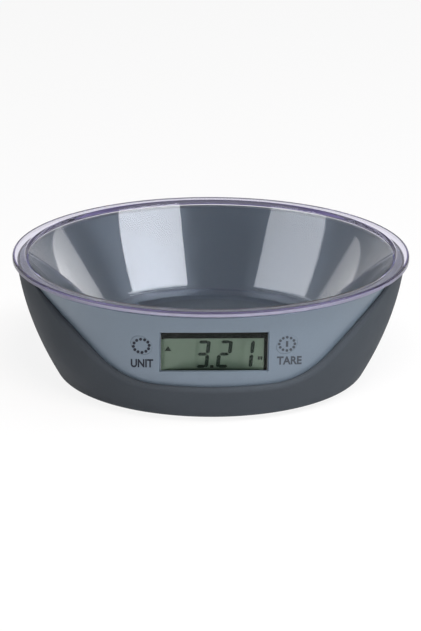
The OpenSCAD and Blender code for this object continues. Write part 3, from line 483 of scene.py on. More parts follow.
def print_on(bm, outward, base=0.00002, thick=0.00004):
    """Lays flat faces on the panel's cone and gives the print its thickness."""
    f = Forms()
    top = bmesh.ops.extrude_face_region(bm, geom=list(bm.faces))["geom"]
    upper = set(verts_of(top))
    for v in bm.verts:
        v.co = f.onto_panel(v.co, outward, base + (thick if v in upper else 0))
    bmesh.ops.recalc_face_normals(bm, faces=bm.faces)


def label(text, centre, height, widen, look):
    """A printed word, set in the plane across the line of sight and laid on the panel."""
    f = Forms()
    capital_share, boldness = 0.7, 0.00021
    curve = bpy.data.curves.new("print_" + text.lower(), "FONT")
    curve.body = text
    curve.align_x = curve.align_y = "CENTER"
    curve.size = height / capital_share
    curve.offset = boldness
    holder = linked("print_" + text.lower(), curve)
    mesh = bpy.data.meshes.new_from_object(holder.evaluated_get(bpy.context.evaluated_depsgraph_get()))
    bm = bmesh.new()
    bm.from_mesh(mesh)
    bpy.data.objects.remove(holder)
    bpy.data.curves.remove(curve)
    bpy.data.meshes.remove(mesh)
    bmesh.ops.remove_doubles(bm, verts=bm.verts, dist=1e-6)
    for v in bm.verts:
        v.co = f.from_sight(centre[0] + v.co.x * widen, centre[1] + v.co.y)
    print_on(bm, -f.inward)
    piece(bm, "print_" + text.lower(), "base", look)


SEGMENTS = {"0": "abcdef", "1": "bc", "2": "abged", "3": "abgcd", "4": "fgbc", "5": "afgcd",
            "6": "afgedc", "7": "abc", "8": "abcdefg", "9": "abcdfg"}


def digit(bm, place, lit, width, height, stroke):
    """Adds a digit's bevelled segments to a bmesh."""
    gap, s, slant = stroke * 0.12, stroke / 2, 0.08
    side, half = width / 2, height / 2
    bars = {"a": (0, height, -s), "g": (0, half, 0), "d": (0, 0, s), "f": (-side, half, None),
            "b": (side, half, None), "e": (-side, 0, None), "c": (side, 0, None)}
    for name in lit:
        x, y, lift = bars[name]
        if lift is None:
            low, high = y + gap, y + half - gap
            points = [(x, low), (x + s, low + s), (x + s, high - s),
                      (x, high), (x - s, high - s), (x - s, low + s)]
        else:
            y += lift
            end = side - gap
            points = [(-end, y), (s - end, y + s), (end - s, y + s),
                      (end, y), (end - s, y - s), (s - end, y - s)]
        verts = [bm.verts.new(place @ Vector((px + (py - half) * slant, py, 0))) for px, py in points]
        bmesh.ops.recalc_face_normals(bm, faces=[bm.faces.new(verts)])


# Materials

def node_of(tree, kind, **sockets):
    """A new node of a tree, its sockets set to values or linked to other nodes' outputs."""
    node = tree.nodes.new("ShaderNode" + kind)
    for name, value in sockets.items():
        feed(tree, node.inputs[name.replace("_", " ")], value)
    return node


def feed(tree, socket, value):
    """Sets a socket to a value or links it to another node's output."""
    if isinstance(value, bpy.types.NodeSocket):
        tree.links.new(value, socket)
    else:
        socket.default_value = value


def on_object(tree):
    """The object's own coordinates."""
    coords = tree.nodes.get("Texture Coordinate") or node_of(tree, "TexCoord")
    return coords.outputs["Object"]


def noise(tree, scale, detail=2.0):
    """Noise on the object's own coordinates, its features about 1 / scale metres wide."""
    return node_of(tree, "TexNoise", Scale=scale, Detail=detail, Vector=on_object(tree)).outputs["Fac"]


def mapped(tree, value, low, high, start=0.3, end=0.7):
    """A value mapped to the range from low to high."""
    return node_of(tree, "MapRange", Value=value, From_Min=start, From_Max=end,
                   To_Min=low, To_Max=high).outputs["Result"]


def combined(tree, operation, first, second, clamp=True):
    """Two values put together by a Math node."""
    node = node_of(tree, "Math")
    node.operation = operation
    node.use_clamp = clamp
    feed(tree, node.inputs[0], first)
    feed(tree, node.inputs[1], second)
    return node.outputs[0]


def finish(name, color, rough, grain=2500.0, vary=0.08, bump=0.04, cloud=35.0, relief=0.0001, **sockets):
    """A moulded or worked surface: grain in its colour and relief, broad clouds in its gloss."""
    found = bpy.data.materials.get(name)
    if found:
        return found
    material = bpy.data.materials.new(name)
    material.use_nodes = True
    material.diffuse_color = (*color, 1)
    tree = material.node_tree
    shader = tree.nodes["Principled BSDF"]
    for socket, value in sockets.items():
        shader.inputs[socket.replace("_", " ").title().replace("Ior", "IOR")].default_value = value
    fine = noise(tree, grain)
    ramp = node_of(tree, "ValToRGB", Fac=fine)
    for element, position, share in zip(ramp.color_ramp.elements, (0.3, 0.7), (1 - vary, 1 + vary)):
        element.position = position
        element.color = (*(min(1.0, c * share) for c in color), 1)
    feed(tree, shader.inputs["Base Color"], ramp.outputs["Color"])
    feed(tree, shader.inputs["Roughness"], mapped(tree, noise(tree, cloud, 3), rough * 0.9, rough * 1.12))
    if bump:
        node = node_of(tree, "Bump", Strength=bump, Distance=relief, Height=fine)
        feed(tree, shader.inputs["Normal"], node.outputs["Normal"])
    return material


def whereabouts(tree):
    """Distance from the axis, x and height of the shaded point, at the object's own coordinates."""
    flat, reach = node_of(tree, "VectorMath"), node_of(tree, "VectorMath")
    flat.operation, reach.operation = "MULTIPLY", "LENGTH"
    feed(tree, flat.inputs[0], on_object(tree))
    feed(tree, flat.inputs[1], (1, 1, 0))
    feed(tree, reach.inputs[0], flat.outputs["Vector"])
    split = node_of(tree, "SeparateXYZ", Vector=on_object(tree)).outputs
    return reach.outputs["Value"], split["X"], split["Z"]


def beyond(tree, value, limit, soft=0.00025):
    """0 below a limit, 1 above it, with a soft step."""
    return combined(tree, "DIVIDE", combined(tree, "SUBTRACT", value, limit), soft)


def left(tree, share):
    """What a share leaves of the whole."""
    return combined(tree, "SUBTRACT", 1.0, share)


def blend(tree, share, color):
    """Blends the base colour to another by a share."""
    base = tree.nodes["Principled BSDF"].inputs["Base Color"]
    mix = node_of(tree, "Mix")
    mix.data_type = "RGBA"
    feed(tree, mix.inputs["Factor"], share)
    feed(tree, mix.inputs["A"], base.links[0].from_socket)
    feed(tree, mix.inputs["B"], (*color, 1))
    feed(tree, base, mix.outputs["Result"])


def clear_plastic():
    """Clear bowl plastic, tinted on its flange and edge and where one looks a long way through, with a painted
    violet refraction along its mouth and a painted dark refraction line along the flange's top edge, each
    shown only at some angles.
    """
    s = settings("bowl")
    material = finish("clear tinted plastic", (1, 1, 1), 0.012, vary=0, bump=0, cloud=60,
                      transmission_weight=1.0, ior=1.36)
    tree = material.node_tree
    if "Volume Absorption" in tree.nodes:
        return material
    sockets = tree.nodes["Principled BSDF"].inputs
    reach, _, height = whereabouts(tree)
    facing = node_of(tree, "LayerWeight").outputs["Facing"]
    mouth_r, mouth_out, mouth_half, mouth_gain = FLANGE_R - s.flange_w, 0.0004, 0.0026, 5.0
    flat_depth, corner_drop, edge_depth, brink_depth = 0.0012, 0.0008, 0.0006, 0.0016
    low_angle, steeper_angle = (0.765, 0.015), (0.73, 0.01)
    frosted, opaque = 0.35, 0.5

    # Painted refraction: a deep violet line along the mouth, shown only where the rounding is seen at a low
    # angle, stands in for light bent through the plastic there.
    off = combined(tree, "SUBTRACT", reach, mouth_r + mouth_out, clamp=False)
    near = combined(tree, "DIVIDE", combined(tree, "ABSOLUTE", off, 0), mouth_half)
    mouth = combined(tree, "MULTIPLY", left(tree, near), mouth_gain)
    mouth = combined(tree, "MULTIPLY", mouth, beyond(tree, facing, *low_angle))
    face_up = beyond(tree, height, FLANGE_Z - flat_depth)
    on_flange = combined(tree, "MULTIPLY", face_up, beyond(tree, reach, mouth_r))
    edge = beyond(tree, reach, FLANGE_R - edge_depth)
    top = beyond(tree, height, FLANGE_Z - corner_drop)
    # Painted refraction: near the flange's top outer edge a dark line is laid on where the surface is seen at
    # a steeper angle, standing in for refraction.
    brink = combined(tree, "MULTIPLY", beyond(tree, reach, FLANGE_R - brink_depth), top)
    brink = combined(tree, "MULTIPLY", brink, left(tree, beyond(tree, facing, *steeper_angle)))
    for share, color in ((on_flange, s.flange_tint), (mouth, s.mouth_painted_refraction), (edge, s.edge_tint),
                         (brink, s.brink_painted_refraction)):
        blend(tree, share, color)

    below = combined(tree, "SUBTRACT", edge, top)
    smooth = sockets["Roughness"].links[0].from_socket
    frost = combined(tree, "MULTIPLY", below, frosted)
    feed(tree, sockets["Roughness"], combined(tree, "MAXIMUM", smooth, frost))
    feed(tree, sockets["Transmission Weight"], left(tree, combined(tree, "MULTIPLY", below, opaque)))
    volume = node_of(tree, "VolumeAbsorption", Color=(*s.tint, 1), Density=s.density)
    feed(tree, tree.nodes["Material Output"].inputs["Volume"], volume.outputs["Volume"])
    return material


def silver_plastic():
    """Silver plastic with fine metal flake, darkened inside the well as painted shade."""
    s = settings("panel")
    material = finish("silver flake plastic", s.color, 0.36, grain=5200, vary=0.16,
                      bump=0.05, relief=0.00004, metallic=0.22, coat_weight=0.12, coat_roughness=0.25)
    tree = material.node_tree
    if "Mix" not in tree.nodes:
        f = Forms()
        reach, _, height = whereabouts(tree)
        rise = combined(tree, "MULTIPLY", height, f.bowl_slope)
        into_rim = 0.0030
        outside = beyond(tree, combined(tree, "SUBTRACT", reach, rise), f.well_in_r(0) + into_rim)
        # Painted shade: the colour is darkened inside the well and on the rim's inner part, where less light
        # falls.
        blend(tree, left(tree, outside), s.well_shade_color)
    return material


def dark_plastic():
    """Satin dark plastic with a fine spark-eroded grain."""
    return finish("satin dark plastic", settings("shell").color, 0.6, grain=3400, vary=0.12, bump=0.10,
                  relief=0.00006, specular_ior_level=0.06)


def ink(faded):
    """Print on the panel and the keys."""
    k = settings("keys")
    name, color = ("faded print ink", k.faded_ink) if faded else ("pad print ink", k.ink)
    return finish(name, color, 0.5, grain=4000, vary=0.15, bump=0.05, specular_ior_level=0.2)


def readout_look(name, color, vary):
    """A segment of the readout."""
    return finish(name, color, 0.4, grain=3000, vary=vary, bump=0, specular_ior_level=0.15)


def foam():
    """Foam gasket behind the window in the display's tone, with a near-black painted shadow along the top and
    the right side.
    """
    material = finish("foam frame", [c * 0.8 for c in settings("display").glass], 0.9, grain=3000, bump=0.2,
                      specular_ior_level=0.2)
    tree = material.node_tree
    _, across, height = whereabouts(tree)
    # Painted shadow: above this height and right of this x the gasket is near black, standing in for the
    # shadow of the opening's walls.
    top_z, right_x = 0.0548, 0.0284
    shade = combined(tree, "MAXIMUM", beyond(tree, height, top_z), beyond(tree, across, right_x))
    blend(tree, shade, (0.012, 0.013, 0.012))
    return material


def steel():
    """Zinc-plated steel of screws and contacts."""
    return finish("zinc plated steel", (0.55, 0.56, 0.57), 0.32, grain=1500, vary=0.08, bump=0.06,
                  metallic=1.0)


# Light

def seen_by_eye(tree, names=("Is Camera Ray", "Is Glossy Ray", "Is Transmission Ray")):
    """1 for rays that show the background straight, mirrored or through plastic, 0 for those that light."""
    path = tree.nodes.get("Light Path") or node_of(tree, "LightPath")
    total = 0.0
    for name in names:
        total = combined(tree, "MAXIMUM", path.outputs[name], total)
    return combined(tree, "SUBTRACT", total, path.outputs["Diffuse Depth"])


def softbox(name, azimuth, elevation, turn, across, high, radiance, color=(1, 1, 1), distance=1.5,
            mirrored=True, lighting=True):
    """An area light whose sheet lies across a direction from the table, its sides given along the sheet."""
    azimuth, elevation = radians(azimuth), radians(elevation)
    ahead = polar(cos(elevation), azimuth, sin(elevation))
    side = Vector((cos(azimuth), sin(azimuth), 0))
    axes = Matrix((side, ahead.cross(side), ahead)).transposed().to_4x4()
    middle = Vector((sum(across) / 2, sum(high) / 2, 0))
    data = bpy.data.lights.new(name, "AREA")
    data.shape = "RECTANGLE"
    data.size = across[1] - across[0]
    data.size_y = high[1] - high[0]
    data.energy = radiance * pi * data.size * data.size_y
    data.color = color
    lamp = linked(name, data)
    lamp.visible_glossy = lamp.visible_transmission = mirrored
    lamp.visible_diffuse = lighting
    lamp.matrix_world = (Matrix.Translation(ahead * distance) @ axes
                         @ Matrix.Rotation(radians(turn), 4, "Z") @ Matrix.Translation(middle))


# Operators

class SCALE_OT_bowl(bpy.types.Operator):
    """Build the clear bowl with its flat flange"""
    bl_idname = "scale.bowl"
    bl_label = "Bowl"

    def execute(self, context):
        s = settings("bowl")
        f = Forms()
        under = FLANGE_Z - s.flange_t
        mouth_r = FLANGE_R - s.flange_w
        outline = rounded([
            (0, f.floor_z, 0), (s.floor_r, f.floor_z, s.floor_round), (mouth_r, FLANGE_Z, s.mouth_round),
            (FLANGE_R, FLANGE_Z, s.edge_round), (FLANGE_R, under, s.edge_round),
            (f.bowl_in_r(under) + f.bowl_wall, under, 0.0008),
            (s.floor_r + f.bowl_wall - s.floor_t * f.bowl_slope, BOWL_UNDER, s.floor_round),
            (0, BOWL_UNDER, 0)])
        bm = revolve(held(outline), 320)
        piece(bm, "clear_bowl", "bowl", clear_plastic(), ["bowl"], crease=60)
        return {"FINISHED"}


class SCALE_OT_shell(bpy.types.Operator):
    """Build the dark outer shell with its swept edge around the panel"""
    bl_idname = "scale.shell"
    bl_label = "Outer shell"

    def execute(self, context):
        s = settings("shell")
        f = Forms()
        low_r, low_z, lean = f.low_r, f.low_z, f.low_lean
        floor_z, bevel = UNDER_Z + s.floor_t, 0.001
        bends, wall_rows, inside_rows, steps = 9, 26, 12, 480
        rows = [("flat", (r, UNDER_Z)) for r in (0, 0.03, 0.06)]
        for k in range(bends, 0, -1):
            a = -lean - (pi / 2 - lean) * k / bends
            rows.append(("flat", (low_r + s.corner_r * (cos(a) - cos(lean)),
                                  low_z + s.corner_r * (sin(a) + sin(lean)))))
        rows += [("wall", k / wall_rows) for k in range(wall_rows + 1)]
        rows += [("lip", pi / 2 * k / bends) for k in range(1, bends + 1)]
        rows += [("inside", k / inside_rows) for k in range(1, inside_rows + 1)]
        rows += [("flat", point) for point in ((low_r - s.wall_t, floor_z + bevel),
                                               (low_r - s.wall_t - bevel, floor_z), (0, floor_z))]

        def shaped(index, top, rise):
            """Radius and height of a row where the edge's top and the height of its roll are given."""
            kind, value = rows[index]
            if kind == "flat":
                return value
            if kind == "wall":
                z = low_z + (top - rise - low_z) * value
                return f.shell_out_r(z), z
            if kind == "lip":
                z = top - rise + rise * sin(value)
                across = 1 - cos(value)
                return f.shell_out_r(z) * (1 - across) + f.shell_in_r(z) * across, z
            z = top + (f.knee_z - top) * value
            return f.shell_in_r(z), z

        rim_wall = SHELL_TOP_R - f.shell_in_r(RIM_Z)
        level_off = 0.004
        bm = revolve([shaped(i, RIM_Z, rim_wall) for i in range(len(rows))], steps)
        row = bm.verts.layers.int["row"]
        edges = {}
        for v in bm.verts:
            if rows[v[row]][0] == "flat":
                continue
            phi = around(v.co)
            column = round(phi * steps / (2 * pi))
            if column not in edges:
                top = f.edge_height(f.shell_out_r, phi)
                share = min(1.0, (RIM_Z - top) / level_off)
                steep = f.outline_slope(f.shell_out_r(top) * sin(phi)) * share
                edges[column] = top, (f.shell_out_r(top) - f.shell_in_r(top)) / cos(steep)
            r, z = shaped(v[row], *edges[column])
            v.co = polar(r, phi, z)
        tools = block((*ROOM_LOW, 0), (*ROOM_HIGH, THROUGH_FLOOR))
        slack, foot_depth, cell_top, past, sunk = 0.0002, 0.001, 0.0039, 0.001, 0.0001
        for place in circle_of(FOOT_ANGLES, FOOT_REACH):
            add_rod(tools, place, FOOT_R + slack, 0, UNDER_Z + foot_depth)
        for place in circle_of(CASE_ANGLES, CASE_REACH):
            add_rod(tools, place, CASE_HEAD_R + slack, 0, THROUGH_FLOOR, 48)
        for x in CELL_SCREWS_X:
            add_rod(tools, Matrix.Translation((x, 0, 0)), CELL_HEAD_R + slack, 0, cell_top, 48)
        add_rod(tools, Matrix.Translation((OVERLOAD_X, 0, 0)), OVERLOAD_R, 0, THROUGH_FLOOR, 48)
        bm = boolean(bm, tools)
        notch = bmesh.new()
        middle = (0, ROOM_HIGH[1], UNDER_Z + NOTCH_DEPTH - NOTCH_R)
        bmesh.ops.create_uvsphere(notch, u_segments=64, v_segments=48, radius=NOTCH_R,
                                  matrix=Matrix.Translation(middle))
        dark = dark_plastic()
        piece(boolean(bm, notch), "outer_shell", "base", dark, ["lower_shell"])

        box = block((ROOM_LOW[0] - ROOM_WALL, ROOM_LOW[1] - ROOM_WALL, FLOOR_TOP - sunk),
                    (ROOM_HIGH[0] + ROOM_WALL, ROOM_HIGH[1] + ROOM_WALL, ROOM_TOP + ROOM_WALL))
        box = boolean(box, block((*ROOM_LOW, 0), (*ROOM_HIGH, ROOM_TOP)))
        hooks = bmesh.new()
        for x in HOOKS_X:
            add_block(hooks, (x - HOOK_HALF_W, ROOM_LOW[1] - ROOM_WALL - past, FLOOR_TOP),
                      (x + HOOK_HALF_W, ROOM_LOW[1] + past, HOOK_TOP))
        piece(boolean(box, hooks), "battery_box", "base", dark)
        seat, foot_z = CASE_HEAD_Z[1], FLOOR_TOP - sunk
        boss = revolve([Vector(p) for p in (
            (BOSS_BORE_R, seat), (BOSS_RECESS_R, seat), (BOSS_RECESS_R, foot_z), (BOSS_R, foot_z),
            (BOSS_R, BOSS_TOP), (BOSS_BORE_R, BOSS_TOP))], 48)
        repeat(boss, circle_of(CASE_ANGLES, CASE_REACH))
        piece(boss, "screw_bosses", "base", dark)
        return {"FINISHED"}


class SCALE_OT_underside(bpy.types.Operator):
    """Build the feet and the screws that show from below"""
    bl_idname = "scale.underside"
    bl_label = "Feet and screws"

    def execute(self, context):
        screws = screw(CASE_HEAD_R, CASE_HEAD_Z, CASE_SHAFT_R, CASE_TIP_Z)
        repeat(screws, circle_of(CASE_ANGLES, CASE_REACH))
        piece(screws, "crosshead_screws", "base", steel(), ["case_screws"])
        screws = screw(CELL_HEAD_R, CELL_HEAD_Z, CELL_SHAFT_R, CELL_TIP_Z)
        repeat(screws, [Matrix.Translation((x, 0, 0)) for x in CELL_SCREWS_X])
        piece(screws, "beam_screws", "base", steel(), ["load_cell_screws"])
        rubber = finish("grey rubber", (0.11, 0.11, 0.115), 0.75, grain=1600, bump=0.35)
        plug_r, plug_z, soft = 0.00255, (0.003, 0.0046, 0.006), 0.0002
        feet = revolve(rounded([
            (0, 0.0005, 0), (0.0048, 0.0005, soft), (0.0053, 0, soft), (FOOT_R, 0, 0.0008),
            (FOOT_R, plug_z[0], 0), (plug_r, plug_z[0], 0), (plug_r, plug_z[1], 0), (0.0035, plug_z[1], 0),
            (0.002, plug_z[2], 0), (0, plug_z[2], 0)]), 64)
        repeat(feet, circle_of(FOOT_ANGLES, FOOT_REACH))
        piece(feet, "feet", "base", rubber, ["rubber_feet"])
        return {"FINISHED"}


class SCALE_OT_housing(bpy.types.Operator):
    """Build the silver panel in one piece with the rim and the well"""
    bl_idname = "scale.housing"
    bl_label = "Panel and well"

    def execute(self, context):
        s = settings("panel")
        d = settings("display")
        steps = 540
        column = 2 * pi / steps
        f = Forms()
        skin = s.wall_t / cos(s.lean)
        well_under = s.well_floor_z - s.well_floor_t
        inner_top = RIM_Z - s.rim_t
        loop = rounded([
            (0, s.well_floor_z, 0), (f.well_in_r(s.well_floor_z), s.well_floor_z, 0.002),
            (f.well_in_r(RIM_Z), RIM_Z, 0.0012), (PANEL_TOP_R, RIM_Z, 0.0005),
            (f.panel_r(PANEL_LOW_Z), PANEL_LOW_Z, 0)])
        outer = len(loop) - 1
        rows = 34
        edge_z = loop[outer - 1].y
        for k in range(1, rows):
            z = edge_z + (PANEL_LOW_Z - edge_z) * k / rows
            loop.insert(outer + k - 1, Vector((f.panel_r(z), z)))
        outer -= 1
        inner = outer + rows + 1
        for k in range(rows + 1):
            z = PANEL_LOW_Z + (inner_top - PANEL_LOW_Z) * k / rows
            loop.append(Vector((f.panel_r(z) - skin, z)))
        loop += [Vector((f.well_out_r(inner_top), inner_top)), Vector((f.well_out_r(well_under), well_under)),
                 Vector((0, well_under))]

        bm = revolve(loop, steps)
        row = bm.verts.layers.int["row"]
        col = bm.verts.layers.int.new("col")
        centre_r = -f.centre.y
        top_row, low_row, side_col = 6, 23, 25
        reach, soft, slope = radians(34), radians(12), radians(14)
        sin_sight, cos_sight = sin(d.sight), cos(d.sight)
        cuts = {True: (0.0, d.half_w + d.chamfer, d.half_h + d.chamfer),
                False: (skin, d.half_w + d.frame_w, d.half_h + d.frame_w)}

        def cut_z(phi, inset, half_h):
            """Height at which a plane along the line of sight crosses a skin of the panel."""
            rise = half_h - sin_sight * (centre_r - (centre_r - inset) * cos(phi))
            return f.centre_z + rise / (cos_sight - sin_sight * f.rise * cos(phi))

        tuck, skirt_h = s.tuck, s.skirt_h
        lows = {}
        for v in bm.verts:
            index = v[row]
            if not outer <= index <= inner + rows:
                v[col] = steps
                continue
            phi = around(v.co)
            v[col] = round(phi / column)
            if v[col] not in lows:
                lows[v[col]] = max(PANEL_LOW_Z, min(RIM_Z - skirt_h, f.edge_height(f.panel_r, phi, tuck)))
            low = lows[v[col]]
            is_outer = index < inner
            inset, half_w, half_h = cuts[is_outer]
            k = index - outer if is_outer else inner + rows - index
            top = edge_z if is_outer else inner_top
            even = top + (low - top) * k / rows
            fade = max(0.0, min(1.0, (reach - abs(phi)) / soft))
            fade = fade * fade * (3 - 2 * fade)
            z = even
            for _ in range(3):
                side = asin(half_w / (f.panel_r(z) - inset))
                limit = side_col * column
                if abs(phi) <= limit:
                    new_phi = phi * side / limit
                else:
                    share = max(0.0, 1 - (abs(phi) - limit) / slope)
                    new_phi = phi + (side - limit) * share * (1 if phi > 0 else -1)
                high_cut, low_cut = cut_z(new_phi, inset, half_h), cut_z(new_phi, inset, -half_h)
                if k <= top_row:
                    shaped = top + (high_cut - top) * k / top_row
                elif k <= low_row:
                    shaped = high_cut + (low_cut - high_cut) * (k - top_row) / (low_row - top_row)
                else:
                    shaped = low_cut + (low - low_cut) * (k - low_row) / (rows - low_row)
                z = even + (shaped - even) * fade
            v.co = polar(f.panel_r(z) - inset, new_phi, z)

        def opened(face):
            """Whether a face lies in the display's opening."""
            for v in face.verts:
                index = v[row]
                k = index - outer if index < inner else inner + rows - index
                if abs(v[col]) > side_col or not top_row <= k <= low_row:
                    return False
            return True

        bmesh.ops.delete(bm, geom=[face for face in bm.faces if opened(face)], context="FACES")
        bmesh.ops.delete(bm, geom=[v for v in bm.verts if not v.link_faces], context="VERTS")
        front = [e for e in bm.edges if e.is_boundary and e.verts[0][row] < inner]
        back = [e for e in bm.edges if e.is_boundary and e.verts[0][row] >= inner]

        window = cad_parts["display_window"].data.vertices
        window_front = min((v.co - f.centre).dot(f.depth) for v in window)

        def grown(edges, old, new, shift):
            """Extrudes a loop of the opening from one size to another, deeper along the line of sight."""
            made = bmesh.ops.extrude_edge_only(bm, edges=edges)["geom"]
            for v in verts_of(made):
                off = v.co - f.centre
                x, h, t = off.x, off.dot(f.upward), off.dot(f.inward)
                if abs(abs(x) - old[0]) < 2e-5:
                    x = new[0] if x > 0 else -new[0]
                if abs(abs(h) - old[1]) < 2e-5:
                    h = new[1] if h > 0 else -new[1]
                if shift:
                    t += shift
                else:
                    flat = Vector((x, 0, 0)) + f.upward * h
                    t = (window_front - flat.dot(f.depth)) / f.inward.dot(f.depth)
                v.co = f.centre + Vector((x, 0, 0)) + f.upward * h + f.inward * t
            return [g for g in made if isinstance(g, bmesh.types.BMEdge)]

        cut = (d.half_w + d.chamfer, d.half_h + d.chamfer)
        opening = (d.half_w, d.half_h)
        edges = grown(front, cut, opening, d.chamfer * 1.2)
        edges = grown(edges, opening, opening, 0.0)
        bmesh.ops.bridge_loops(bm, edges=edges + back)
        bmesh.ops.recalc_face_normals(bm, faces=bm.faces)

        tools = bmesh.new()
        for side in (-1, 1):
            add_rod(tools, key_place(side), settings("keys").cap_r + settings("keys").gap, -0.006, 0.003, 96)
        post_x, half_l, half_w, past, corner_r = 0.0275, 0.0155, 0.0095, 0.001, 0.0035
        hole = add_block(tools, (post_x - half_l, -half_w, well_under - past),
                         (post_x + half_l, half_w, s.well_floor_z + past))
        bmesh.ops.bevel(tools, geom=[e for e in tools.edges if all(v in hole for v in e.verts)
                                     and abs(e.verts[0].co.z - e.verts[1].co.z) > 0.002],
                        offset=corner_r, segments=6, affect="EDGES", profile=0.5, material=-1)
        bm = boolean(bm, tools)
        piece(bm, "panel_and_well", "base", silver_plastic(), ["upper_housing"])
        return {"FINISHED"}


class SCALE_OT_keys(bpy.types.Operator):
    """Build the two keys, their rings of dots and their labels"""
    bl_idname = "scale.keys"
    bl_label = "Keys"

    def execute(self, context):
        k = settings("keys")
        f = Forms()
        bevel, collar_w, collar_z, under_z = 0.0002, 0.0007, 0.0024, 0.003
        # Side, name, radius of a dot, drop of the ring, its turn in dots, the word's centre and width
        for side, name, dot_r, drop, turn, word, widen in (
                (-1, "unit", 0.00090, 0.0004, -0.17, (-0.0420, -0.0072), 0.85),
                (1, "tare", 0.00082, -0.0004, 0.0, (0.0439, -0.0059), 0.94)):
            place = key_place(side)
            out = (place.to_3x3() @ Vector((0, 0, 1))).normalized()
            cap = revolve([(0, 0), (0.002, 0), (0.004, 0), (0.0055, 0), (k.cap_r - bevel, 0),
                           (k.cap_r - bevel * 0.3, -bevel * 0.3), (k.cap_r, -bevel), (k.cap_r, -collar_z),
                           (k.cap_r + collar_w, -collar_z), (k.cap_r + collar_w, -under_z), (0, -under_z)], 96)
            for v in cap.verts:
                keep = v.co.z
                v.co = place @ v.co
                if keep > -collar_z / 2:
                    v.co = f.onto_panel(v.co, out) + out * keep
            piece(cap, name + "_cap", name + "_key", silver_plastic(), [name + "_key"])
            centre = f.on_sight(place.translation)
            centre.y -= drop
            ring = bmesh.new()
            for i in range(k.dots):
                a = 2 * pi * (i + turn) / k.dots
                spot = f.from_sight(centre.x + k.ring_w / 2 * sin(a), centre.y + k.ring_h / 2 * cos(a))
                bmesh.ops.create_circle(ring, cap_ends=True, segments=14, radius=dot_r,
                                        matrix=Matrix.Translation(spot) @ f.facing)
            if side > 0:
                bmesh.ops.create_grid(ring, x_segments=1, y_segments=4, size=1,
                                      matrix=Matrix.Translation(f.from_sight(*centre)) @ f.facing
                                      @ Matrix.Diagonal((0.00068, 0.0017, 1, 1)))
            print_on(ring, -f.inward)
            piece(ring, name + "_ring", name + "_key", ink(side > 0))
            label(name.upper(), word, 0.0046, widen, ink(side > 0))
        return {"FINISHED"}


class SCALE_OT_display(bpy.types.Operator):
    """Build the readout on the liquid crystal panel and dress the gasket behind the window, whose top and
    right side carry a painted shadow
    """
    bl_idname = "scale.display"
    bl_label = "Display"

    def execute(self, context):
        d = settings("display")
        f = Forms()
        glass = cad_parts["lcd_panel"]
        front = min((v.co - f.centre).dot(f.depth) for v in glass.data.vertices)
        place = (Matrix.Translation(f.centre) @ Matrix.Rotation(pi / 2 + f.lean, 4, "X")
                 @ Matrix.Translation((0, 0, -front)))
        width, stroke, low, last, pitch, count = 0.0061, 0.0022, -0.0163, 0.0187, 0.0128, 4
        proud, thick = 0.00005, 0.00004
        point_half, point_left, point_up = 0.00095, 0.0008, 0.0009

        def at(x, y):
            """Place on the glass, beside and above the display's centre."""
            return place @ Matrix.Translation((x, y, proud))

        lit, ghost = bmesh.new(), bmesh.new()
        cells = [c for c in d.readout if c != "."]
        for i, c in enumerate([""] * (count - len(cells)) + cells):
            spot = at(last - (count - 1 - i) * pitch, low)
            shown = SEGMENTS.get(c, "")
            digit(lit, spot, shown, width, d.digit_h, stroke)
            digit(ghost, spot, [n for n in "abcdefg" if c and n not in shown], width, d.digit_h, stroke)
        if "." in d.readout:
            x = last - (len(cells) - d.readout.index(".") - 0.5) * pitch - point_left
            bmesh.ops.create_grid(lit, x_segments=1, y_segments=1, size=point_half,
                                  matrix=at(x, low + point_up))
        bmesh.ops.create_circle(lit, cap_ends=True, segments=3, radius=0.0024, matrix=at(-0.0268, -0.0027))
        for x in (0.0259, 0.0274):
            bmesh.ops.create_grid(lit, x_segments=1, y_segments=1, size=0.0006,
                                  matrix=at(x, -0.0093) @ Matrix.Diagonal((1, 2, 1, 1)))
        dress("lcd_gasket", foam())
        unlit = [c * 0.88 for c in d.glass]
        for bm, name, look in ((lit, "readout", readout_look("readout segment", d.segment, 0.1)),
                               (ghost, "unlit_segments", readout_look("unlit segment", unlit, 0.04))):
            top = bmesh.ops.extrude_face_region(bm, geom=list(bm.faces))["geom"]
            bmesh.ops.translate(bm, vec=place.to_3x3() @ Vector((0, 0, thick)), verts=verts_of(top))
            bmesh.ops.recalc_face_normals(bm, faces=bm.faces)
            piece(bm, name, "base", look)
        return {"FINISHED"}


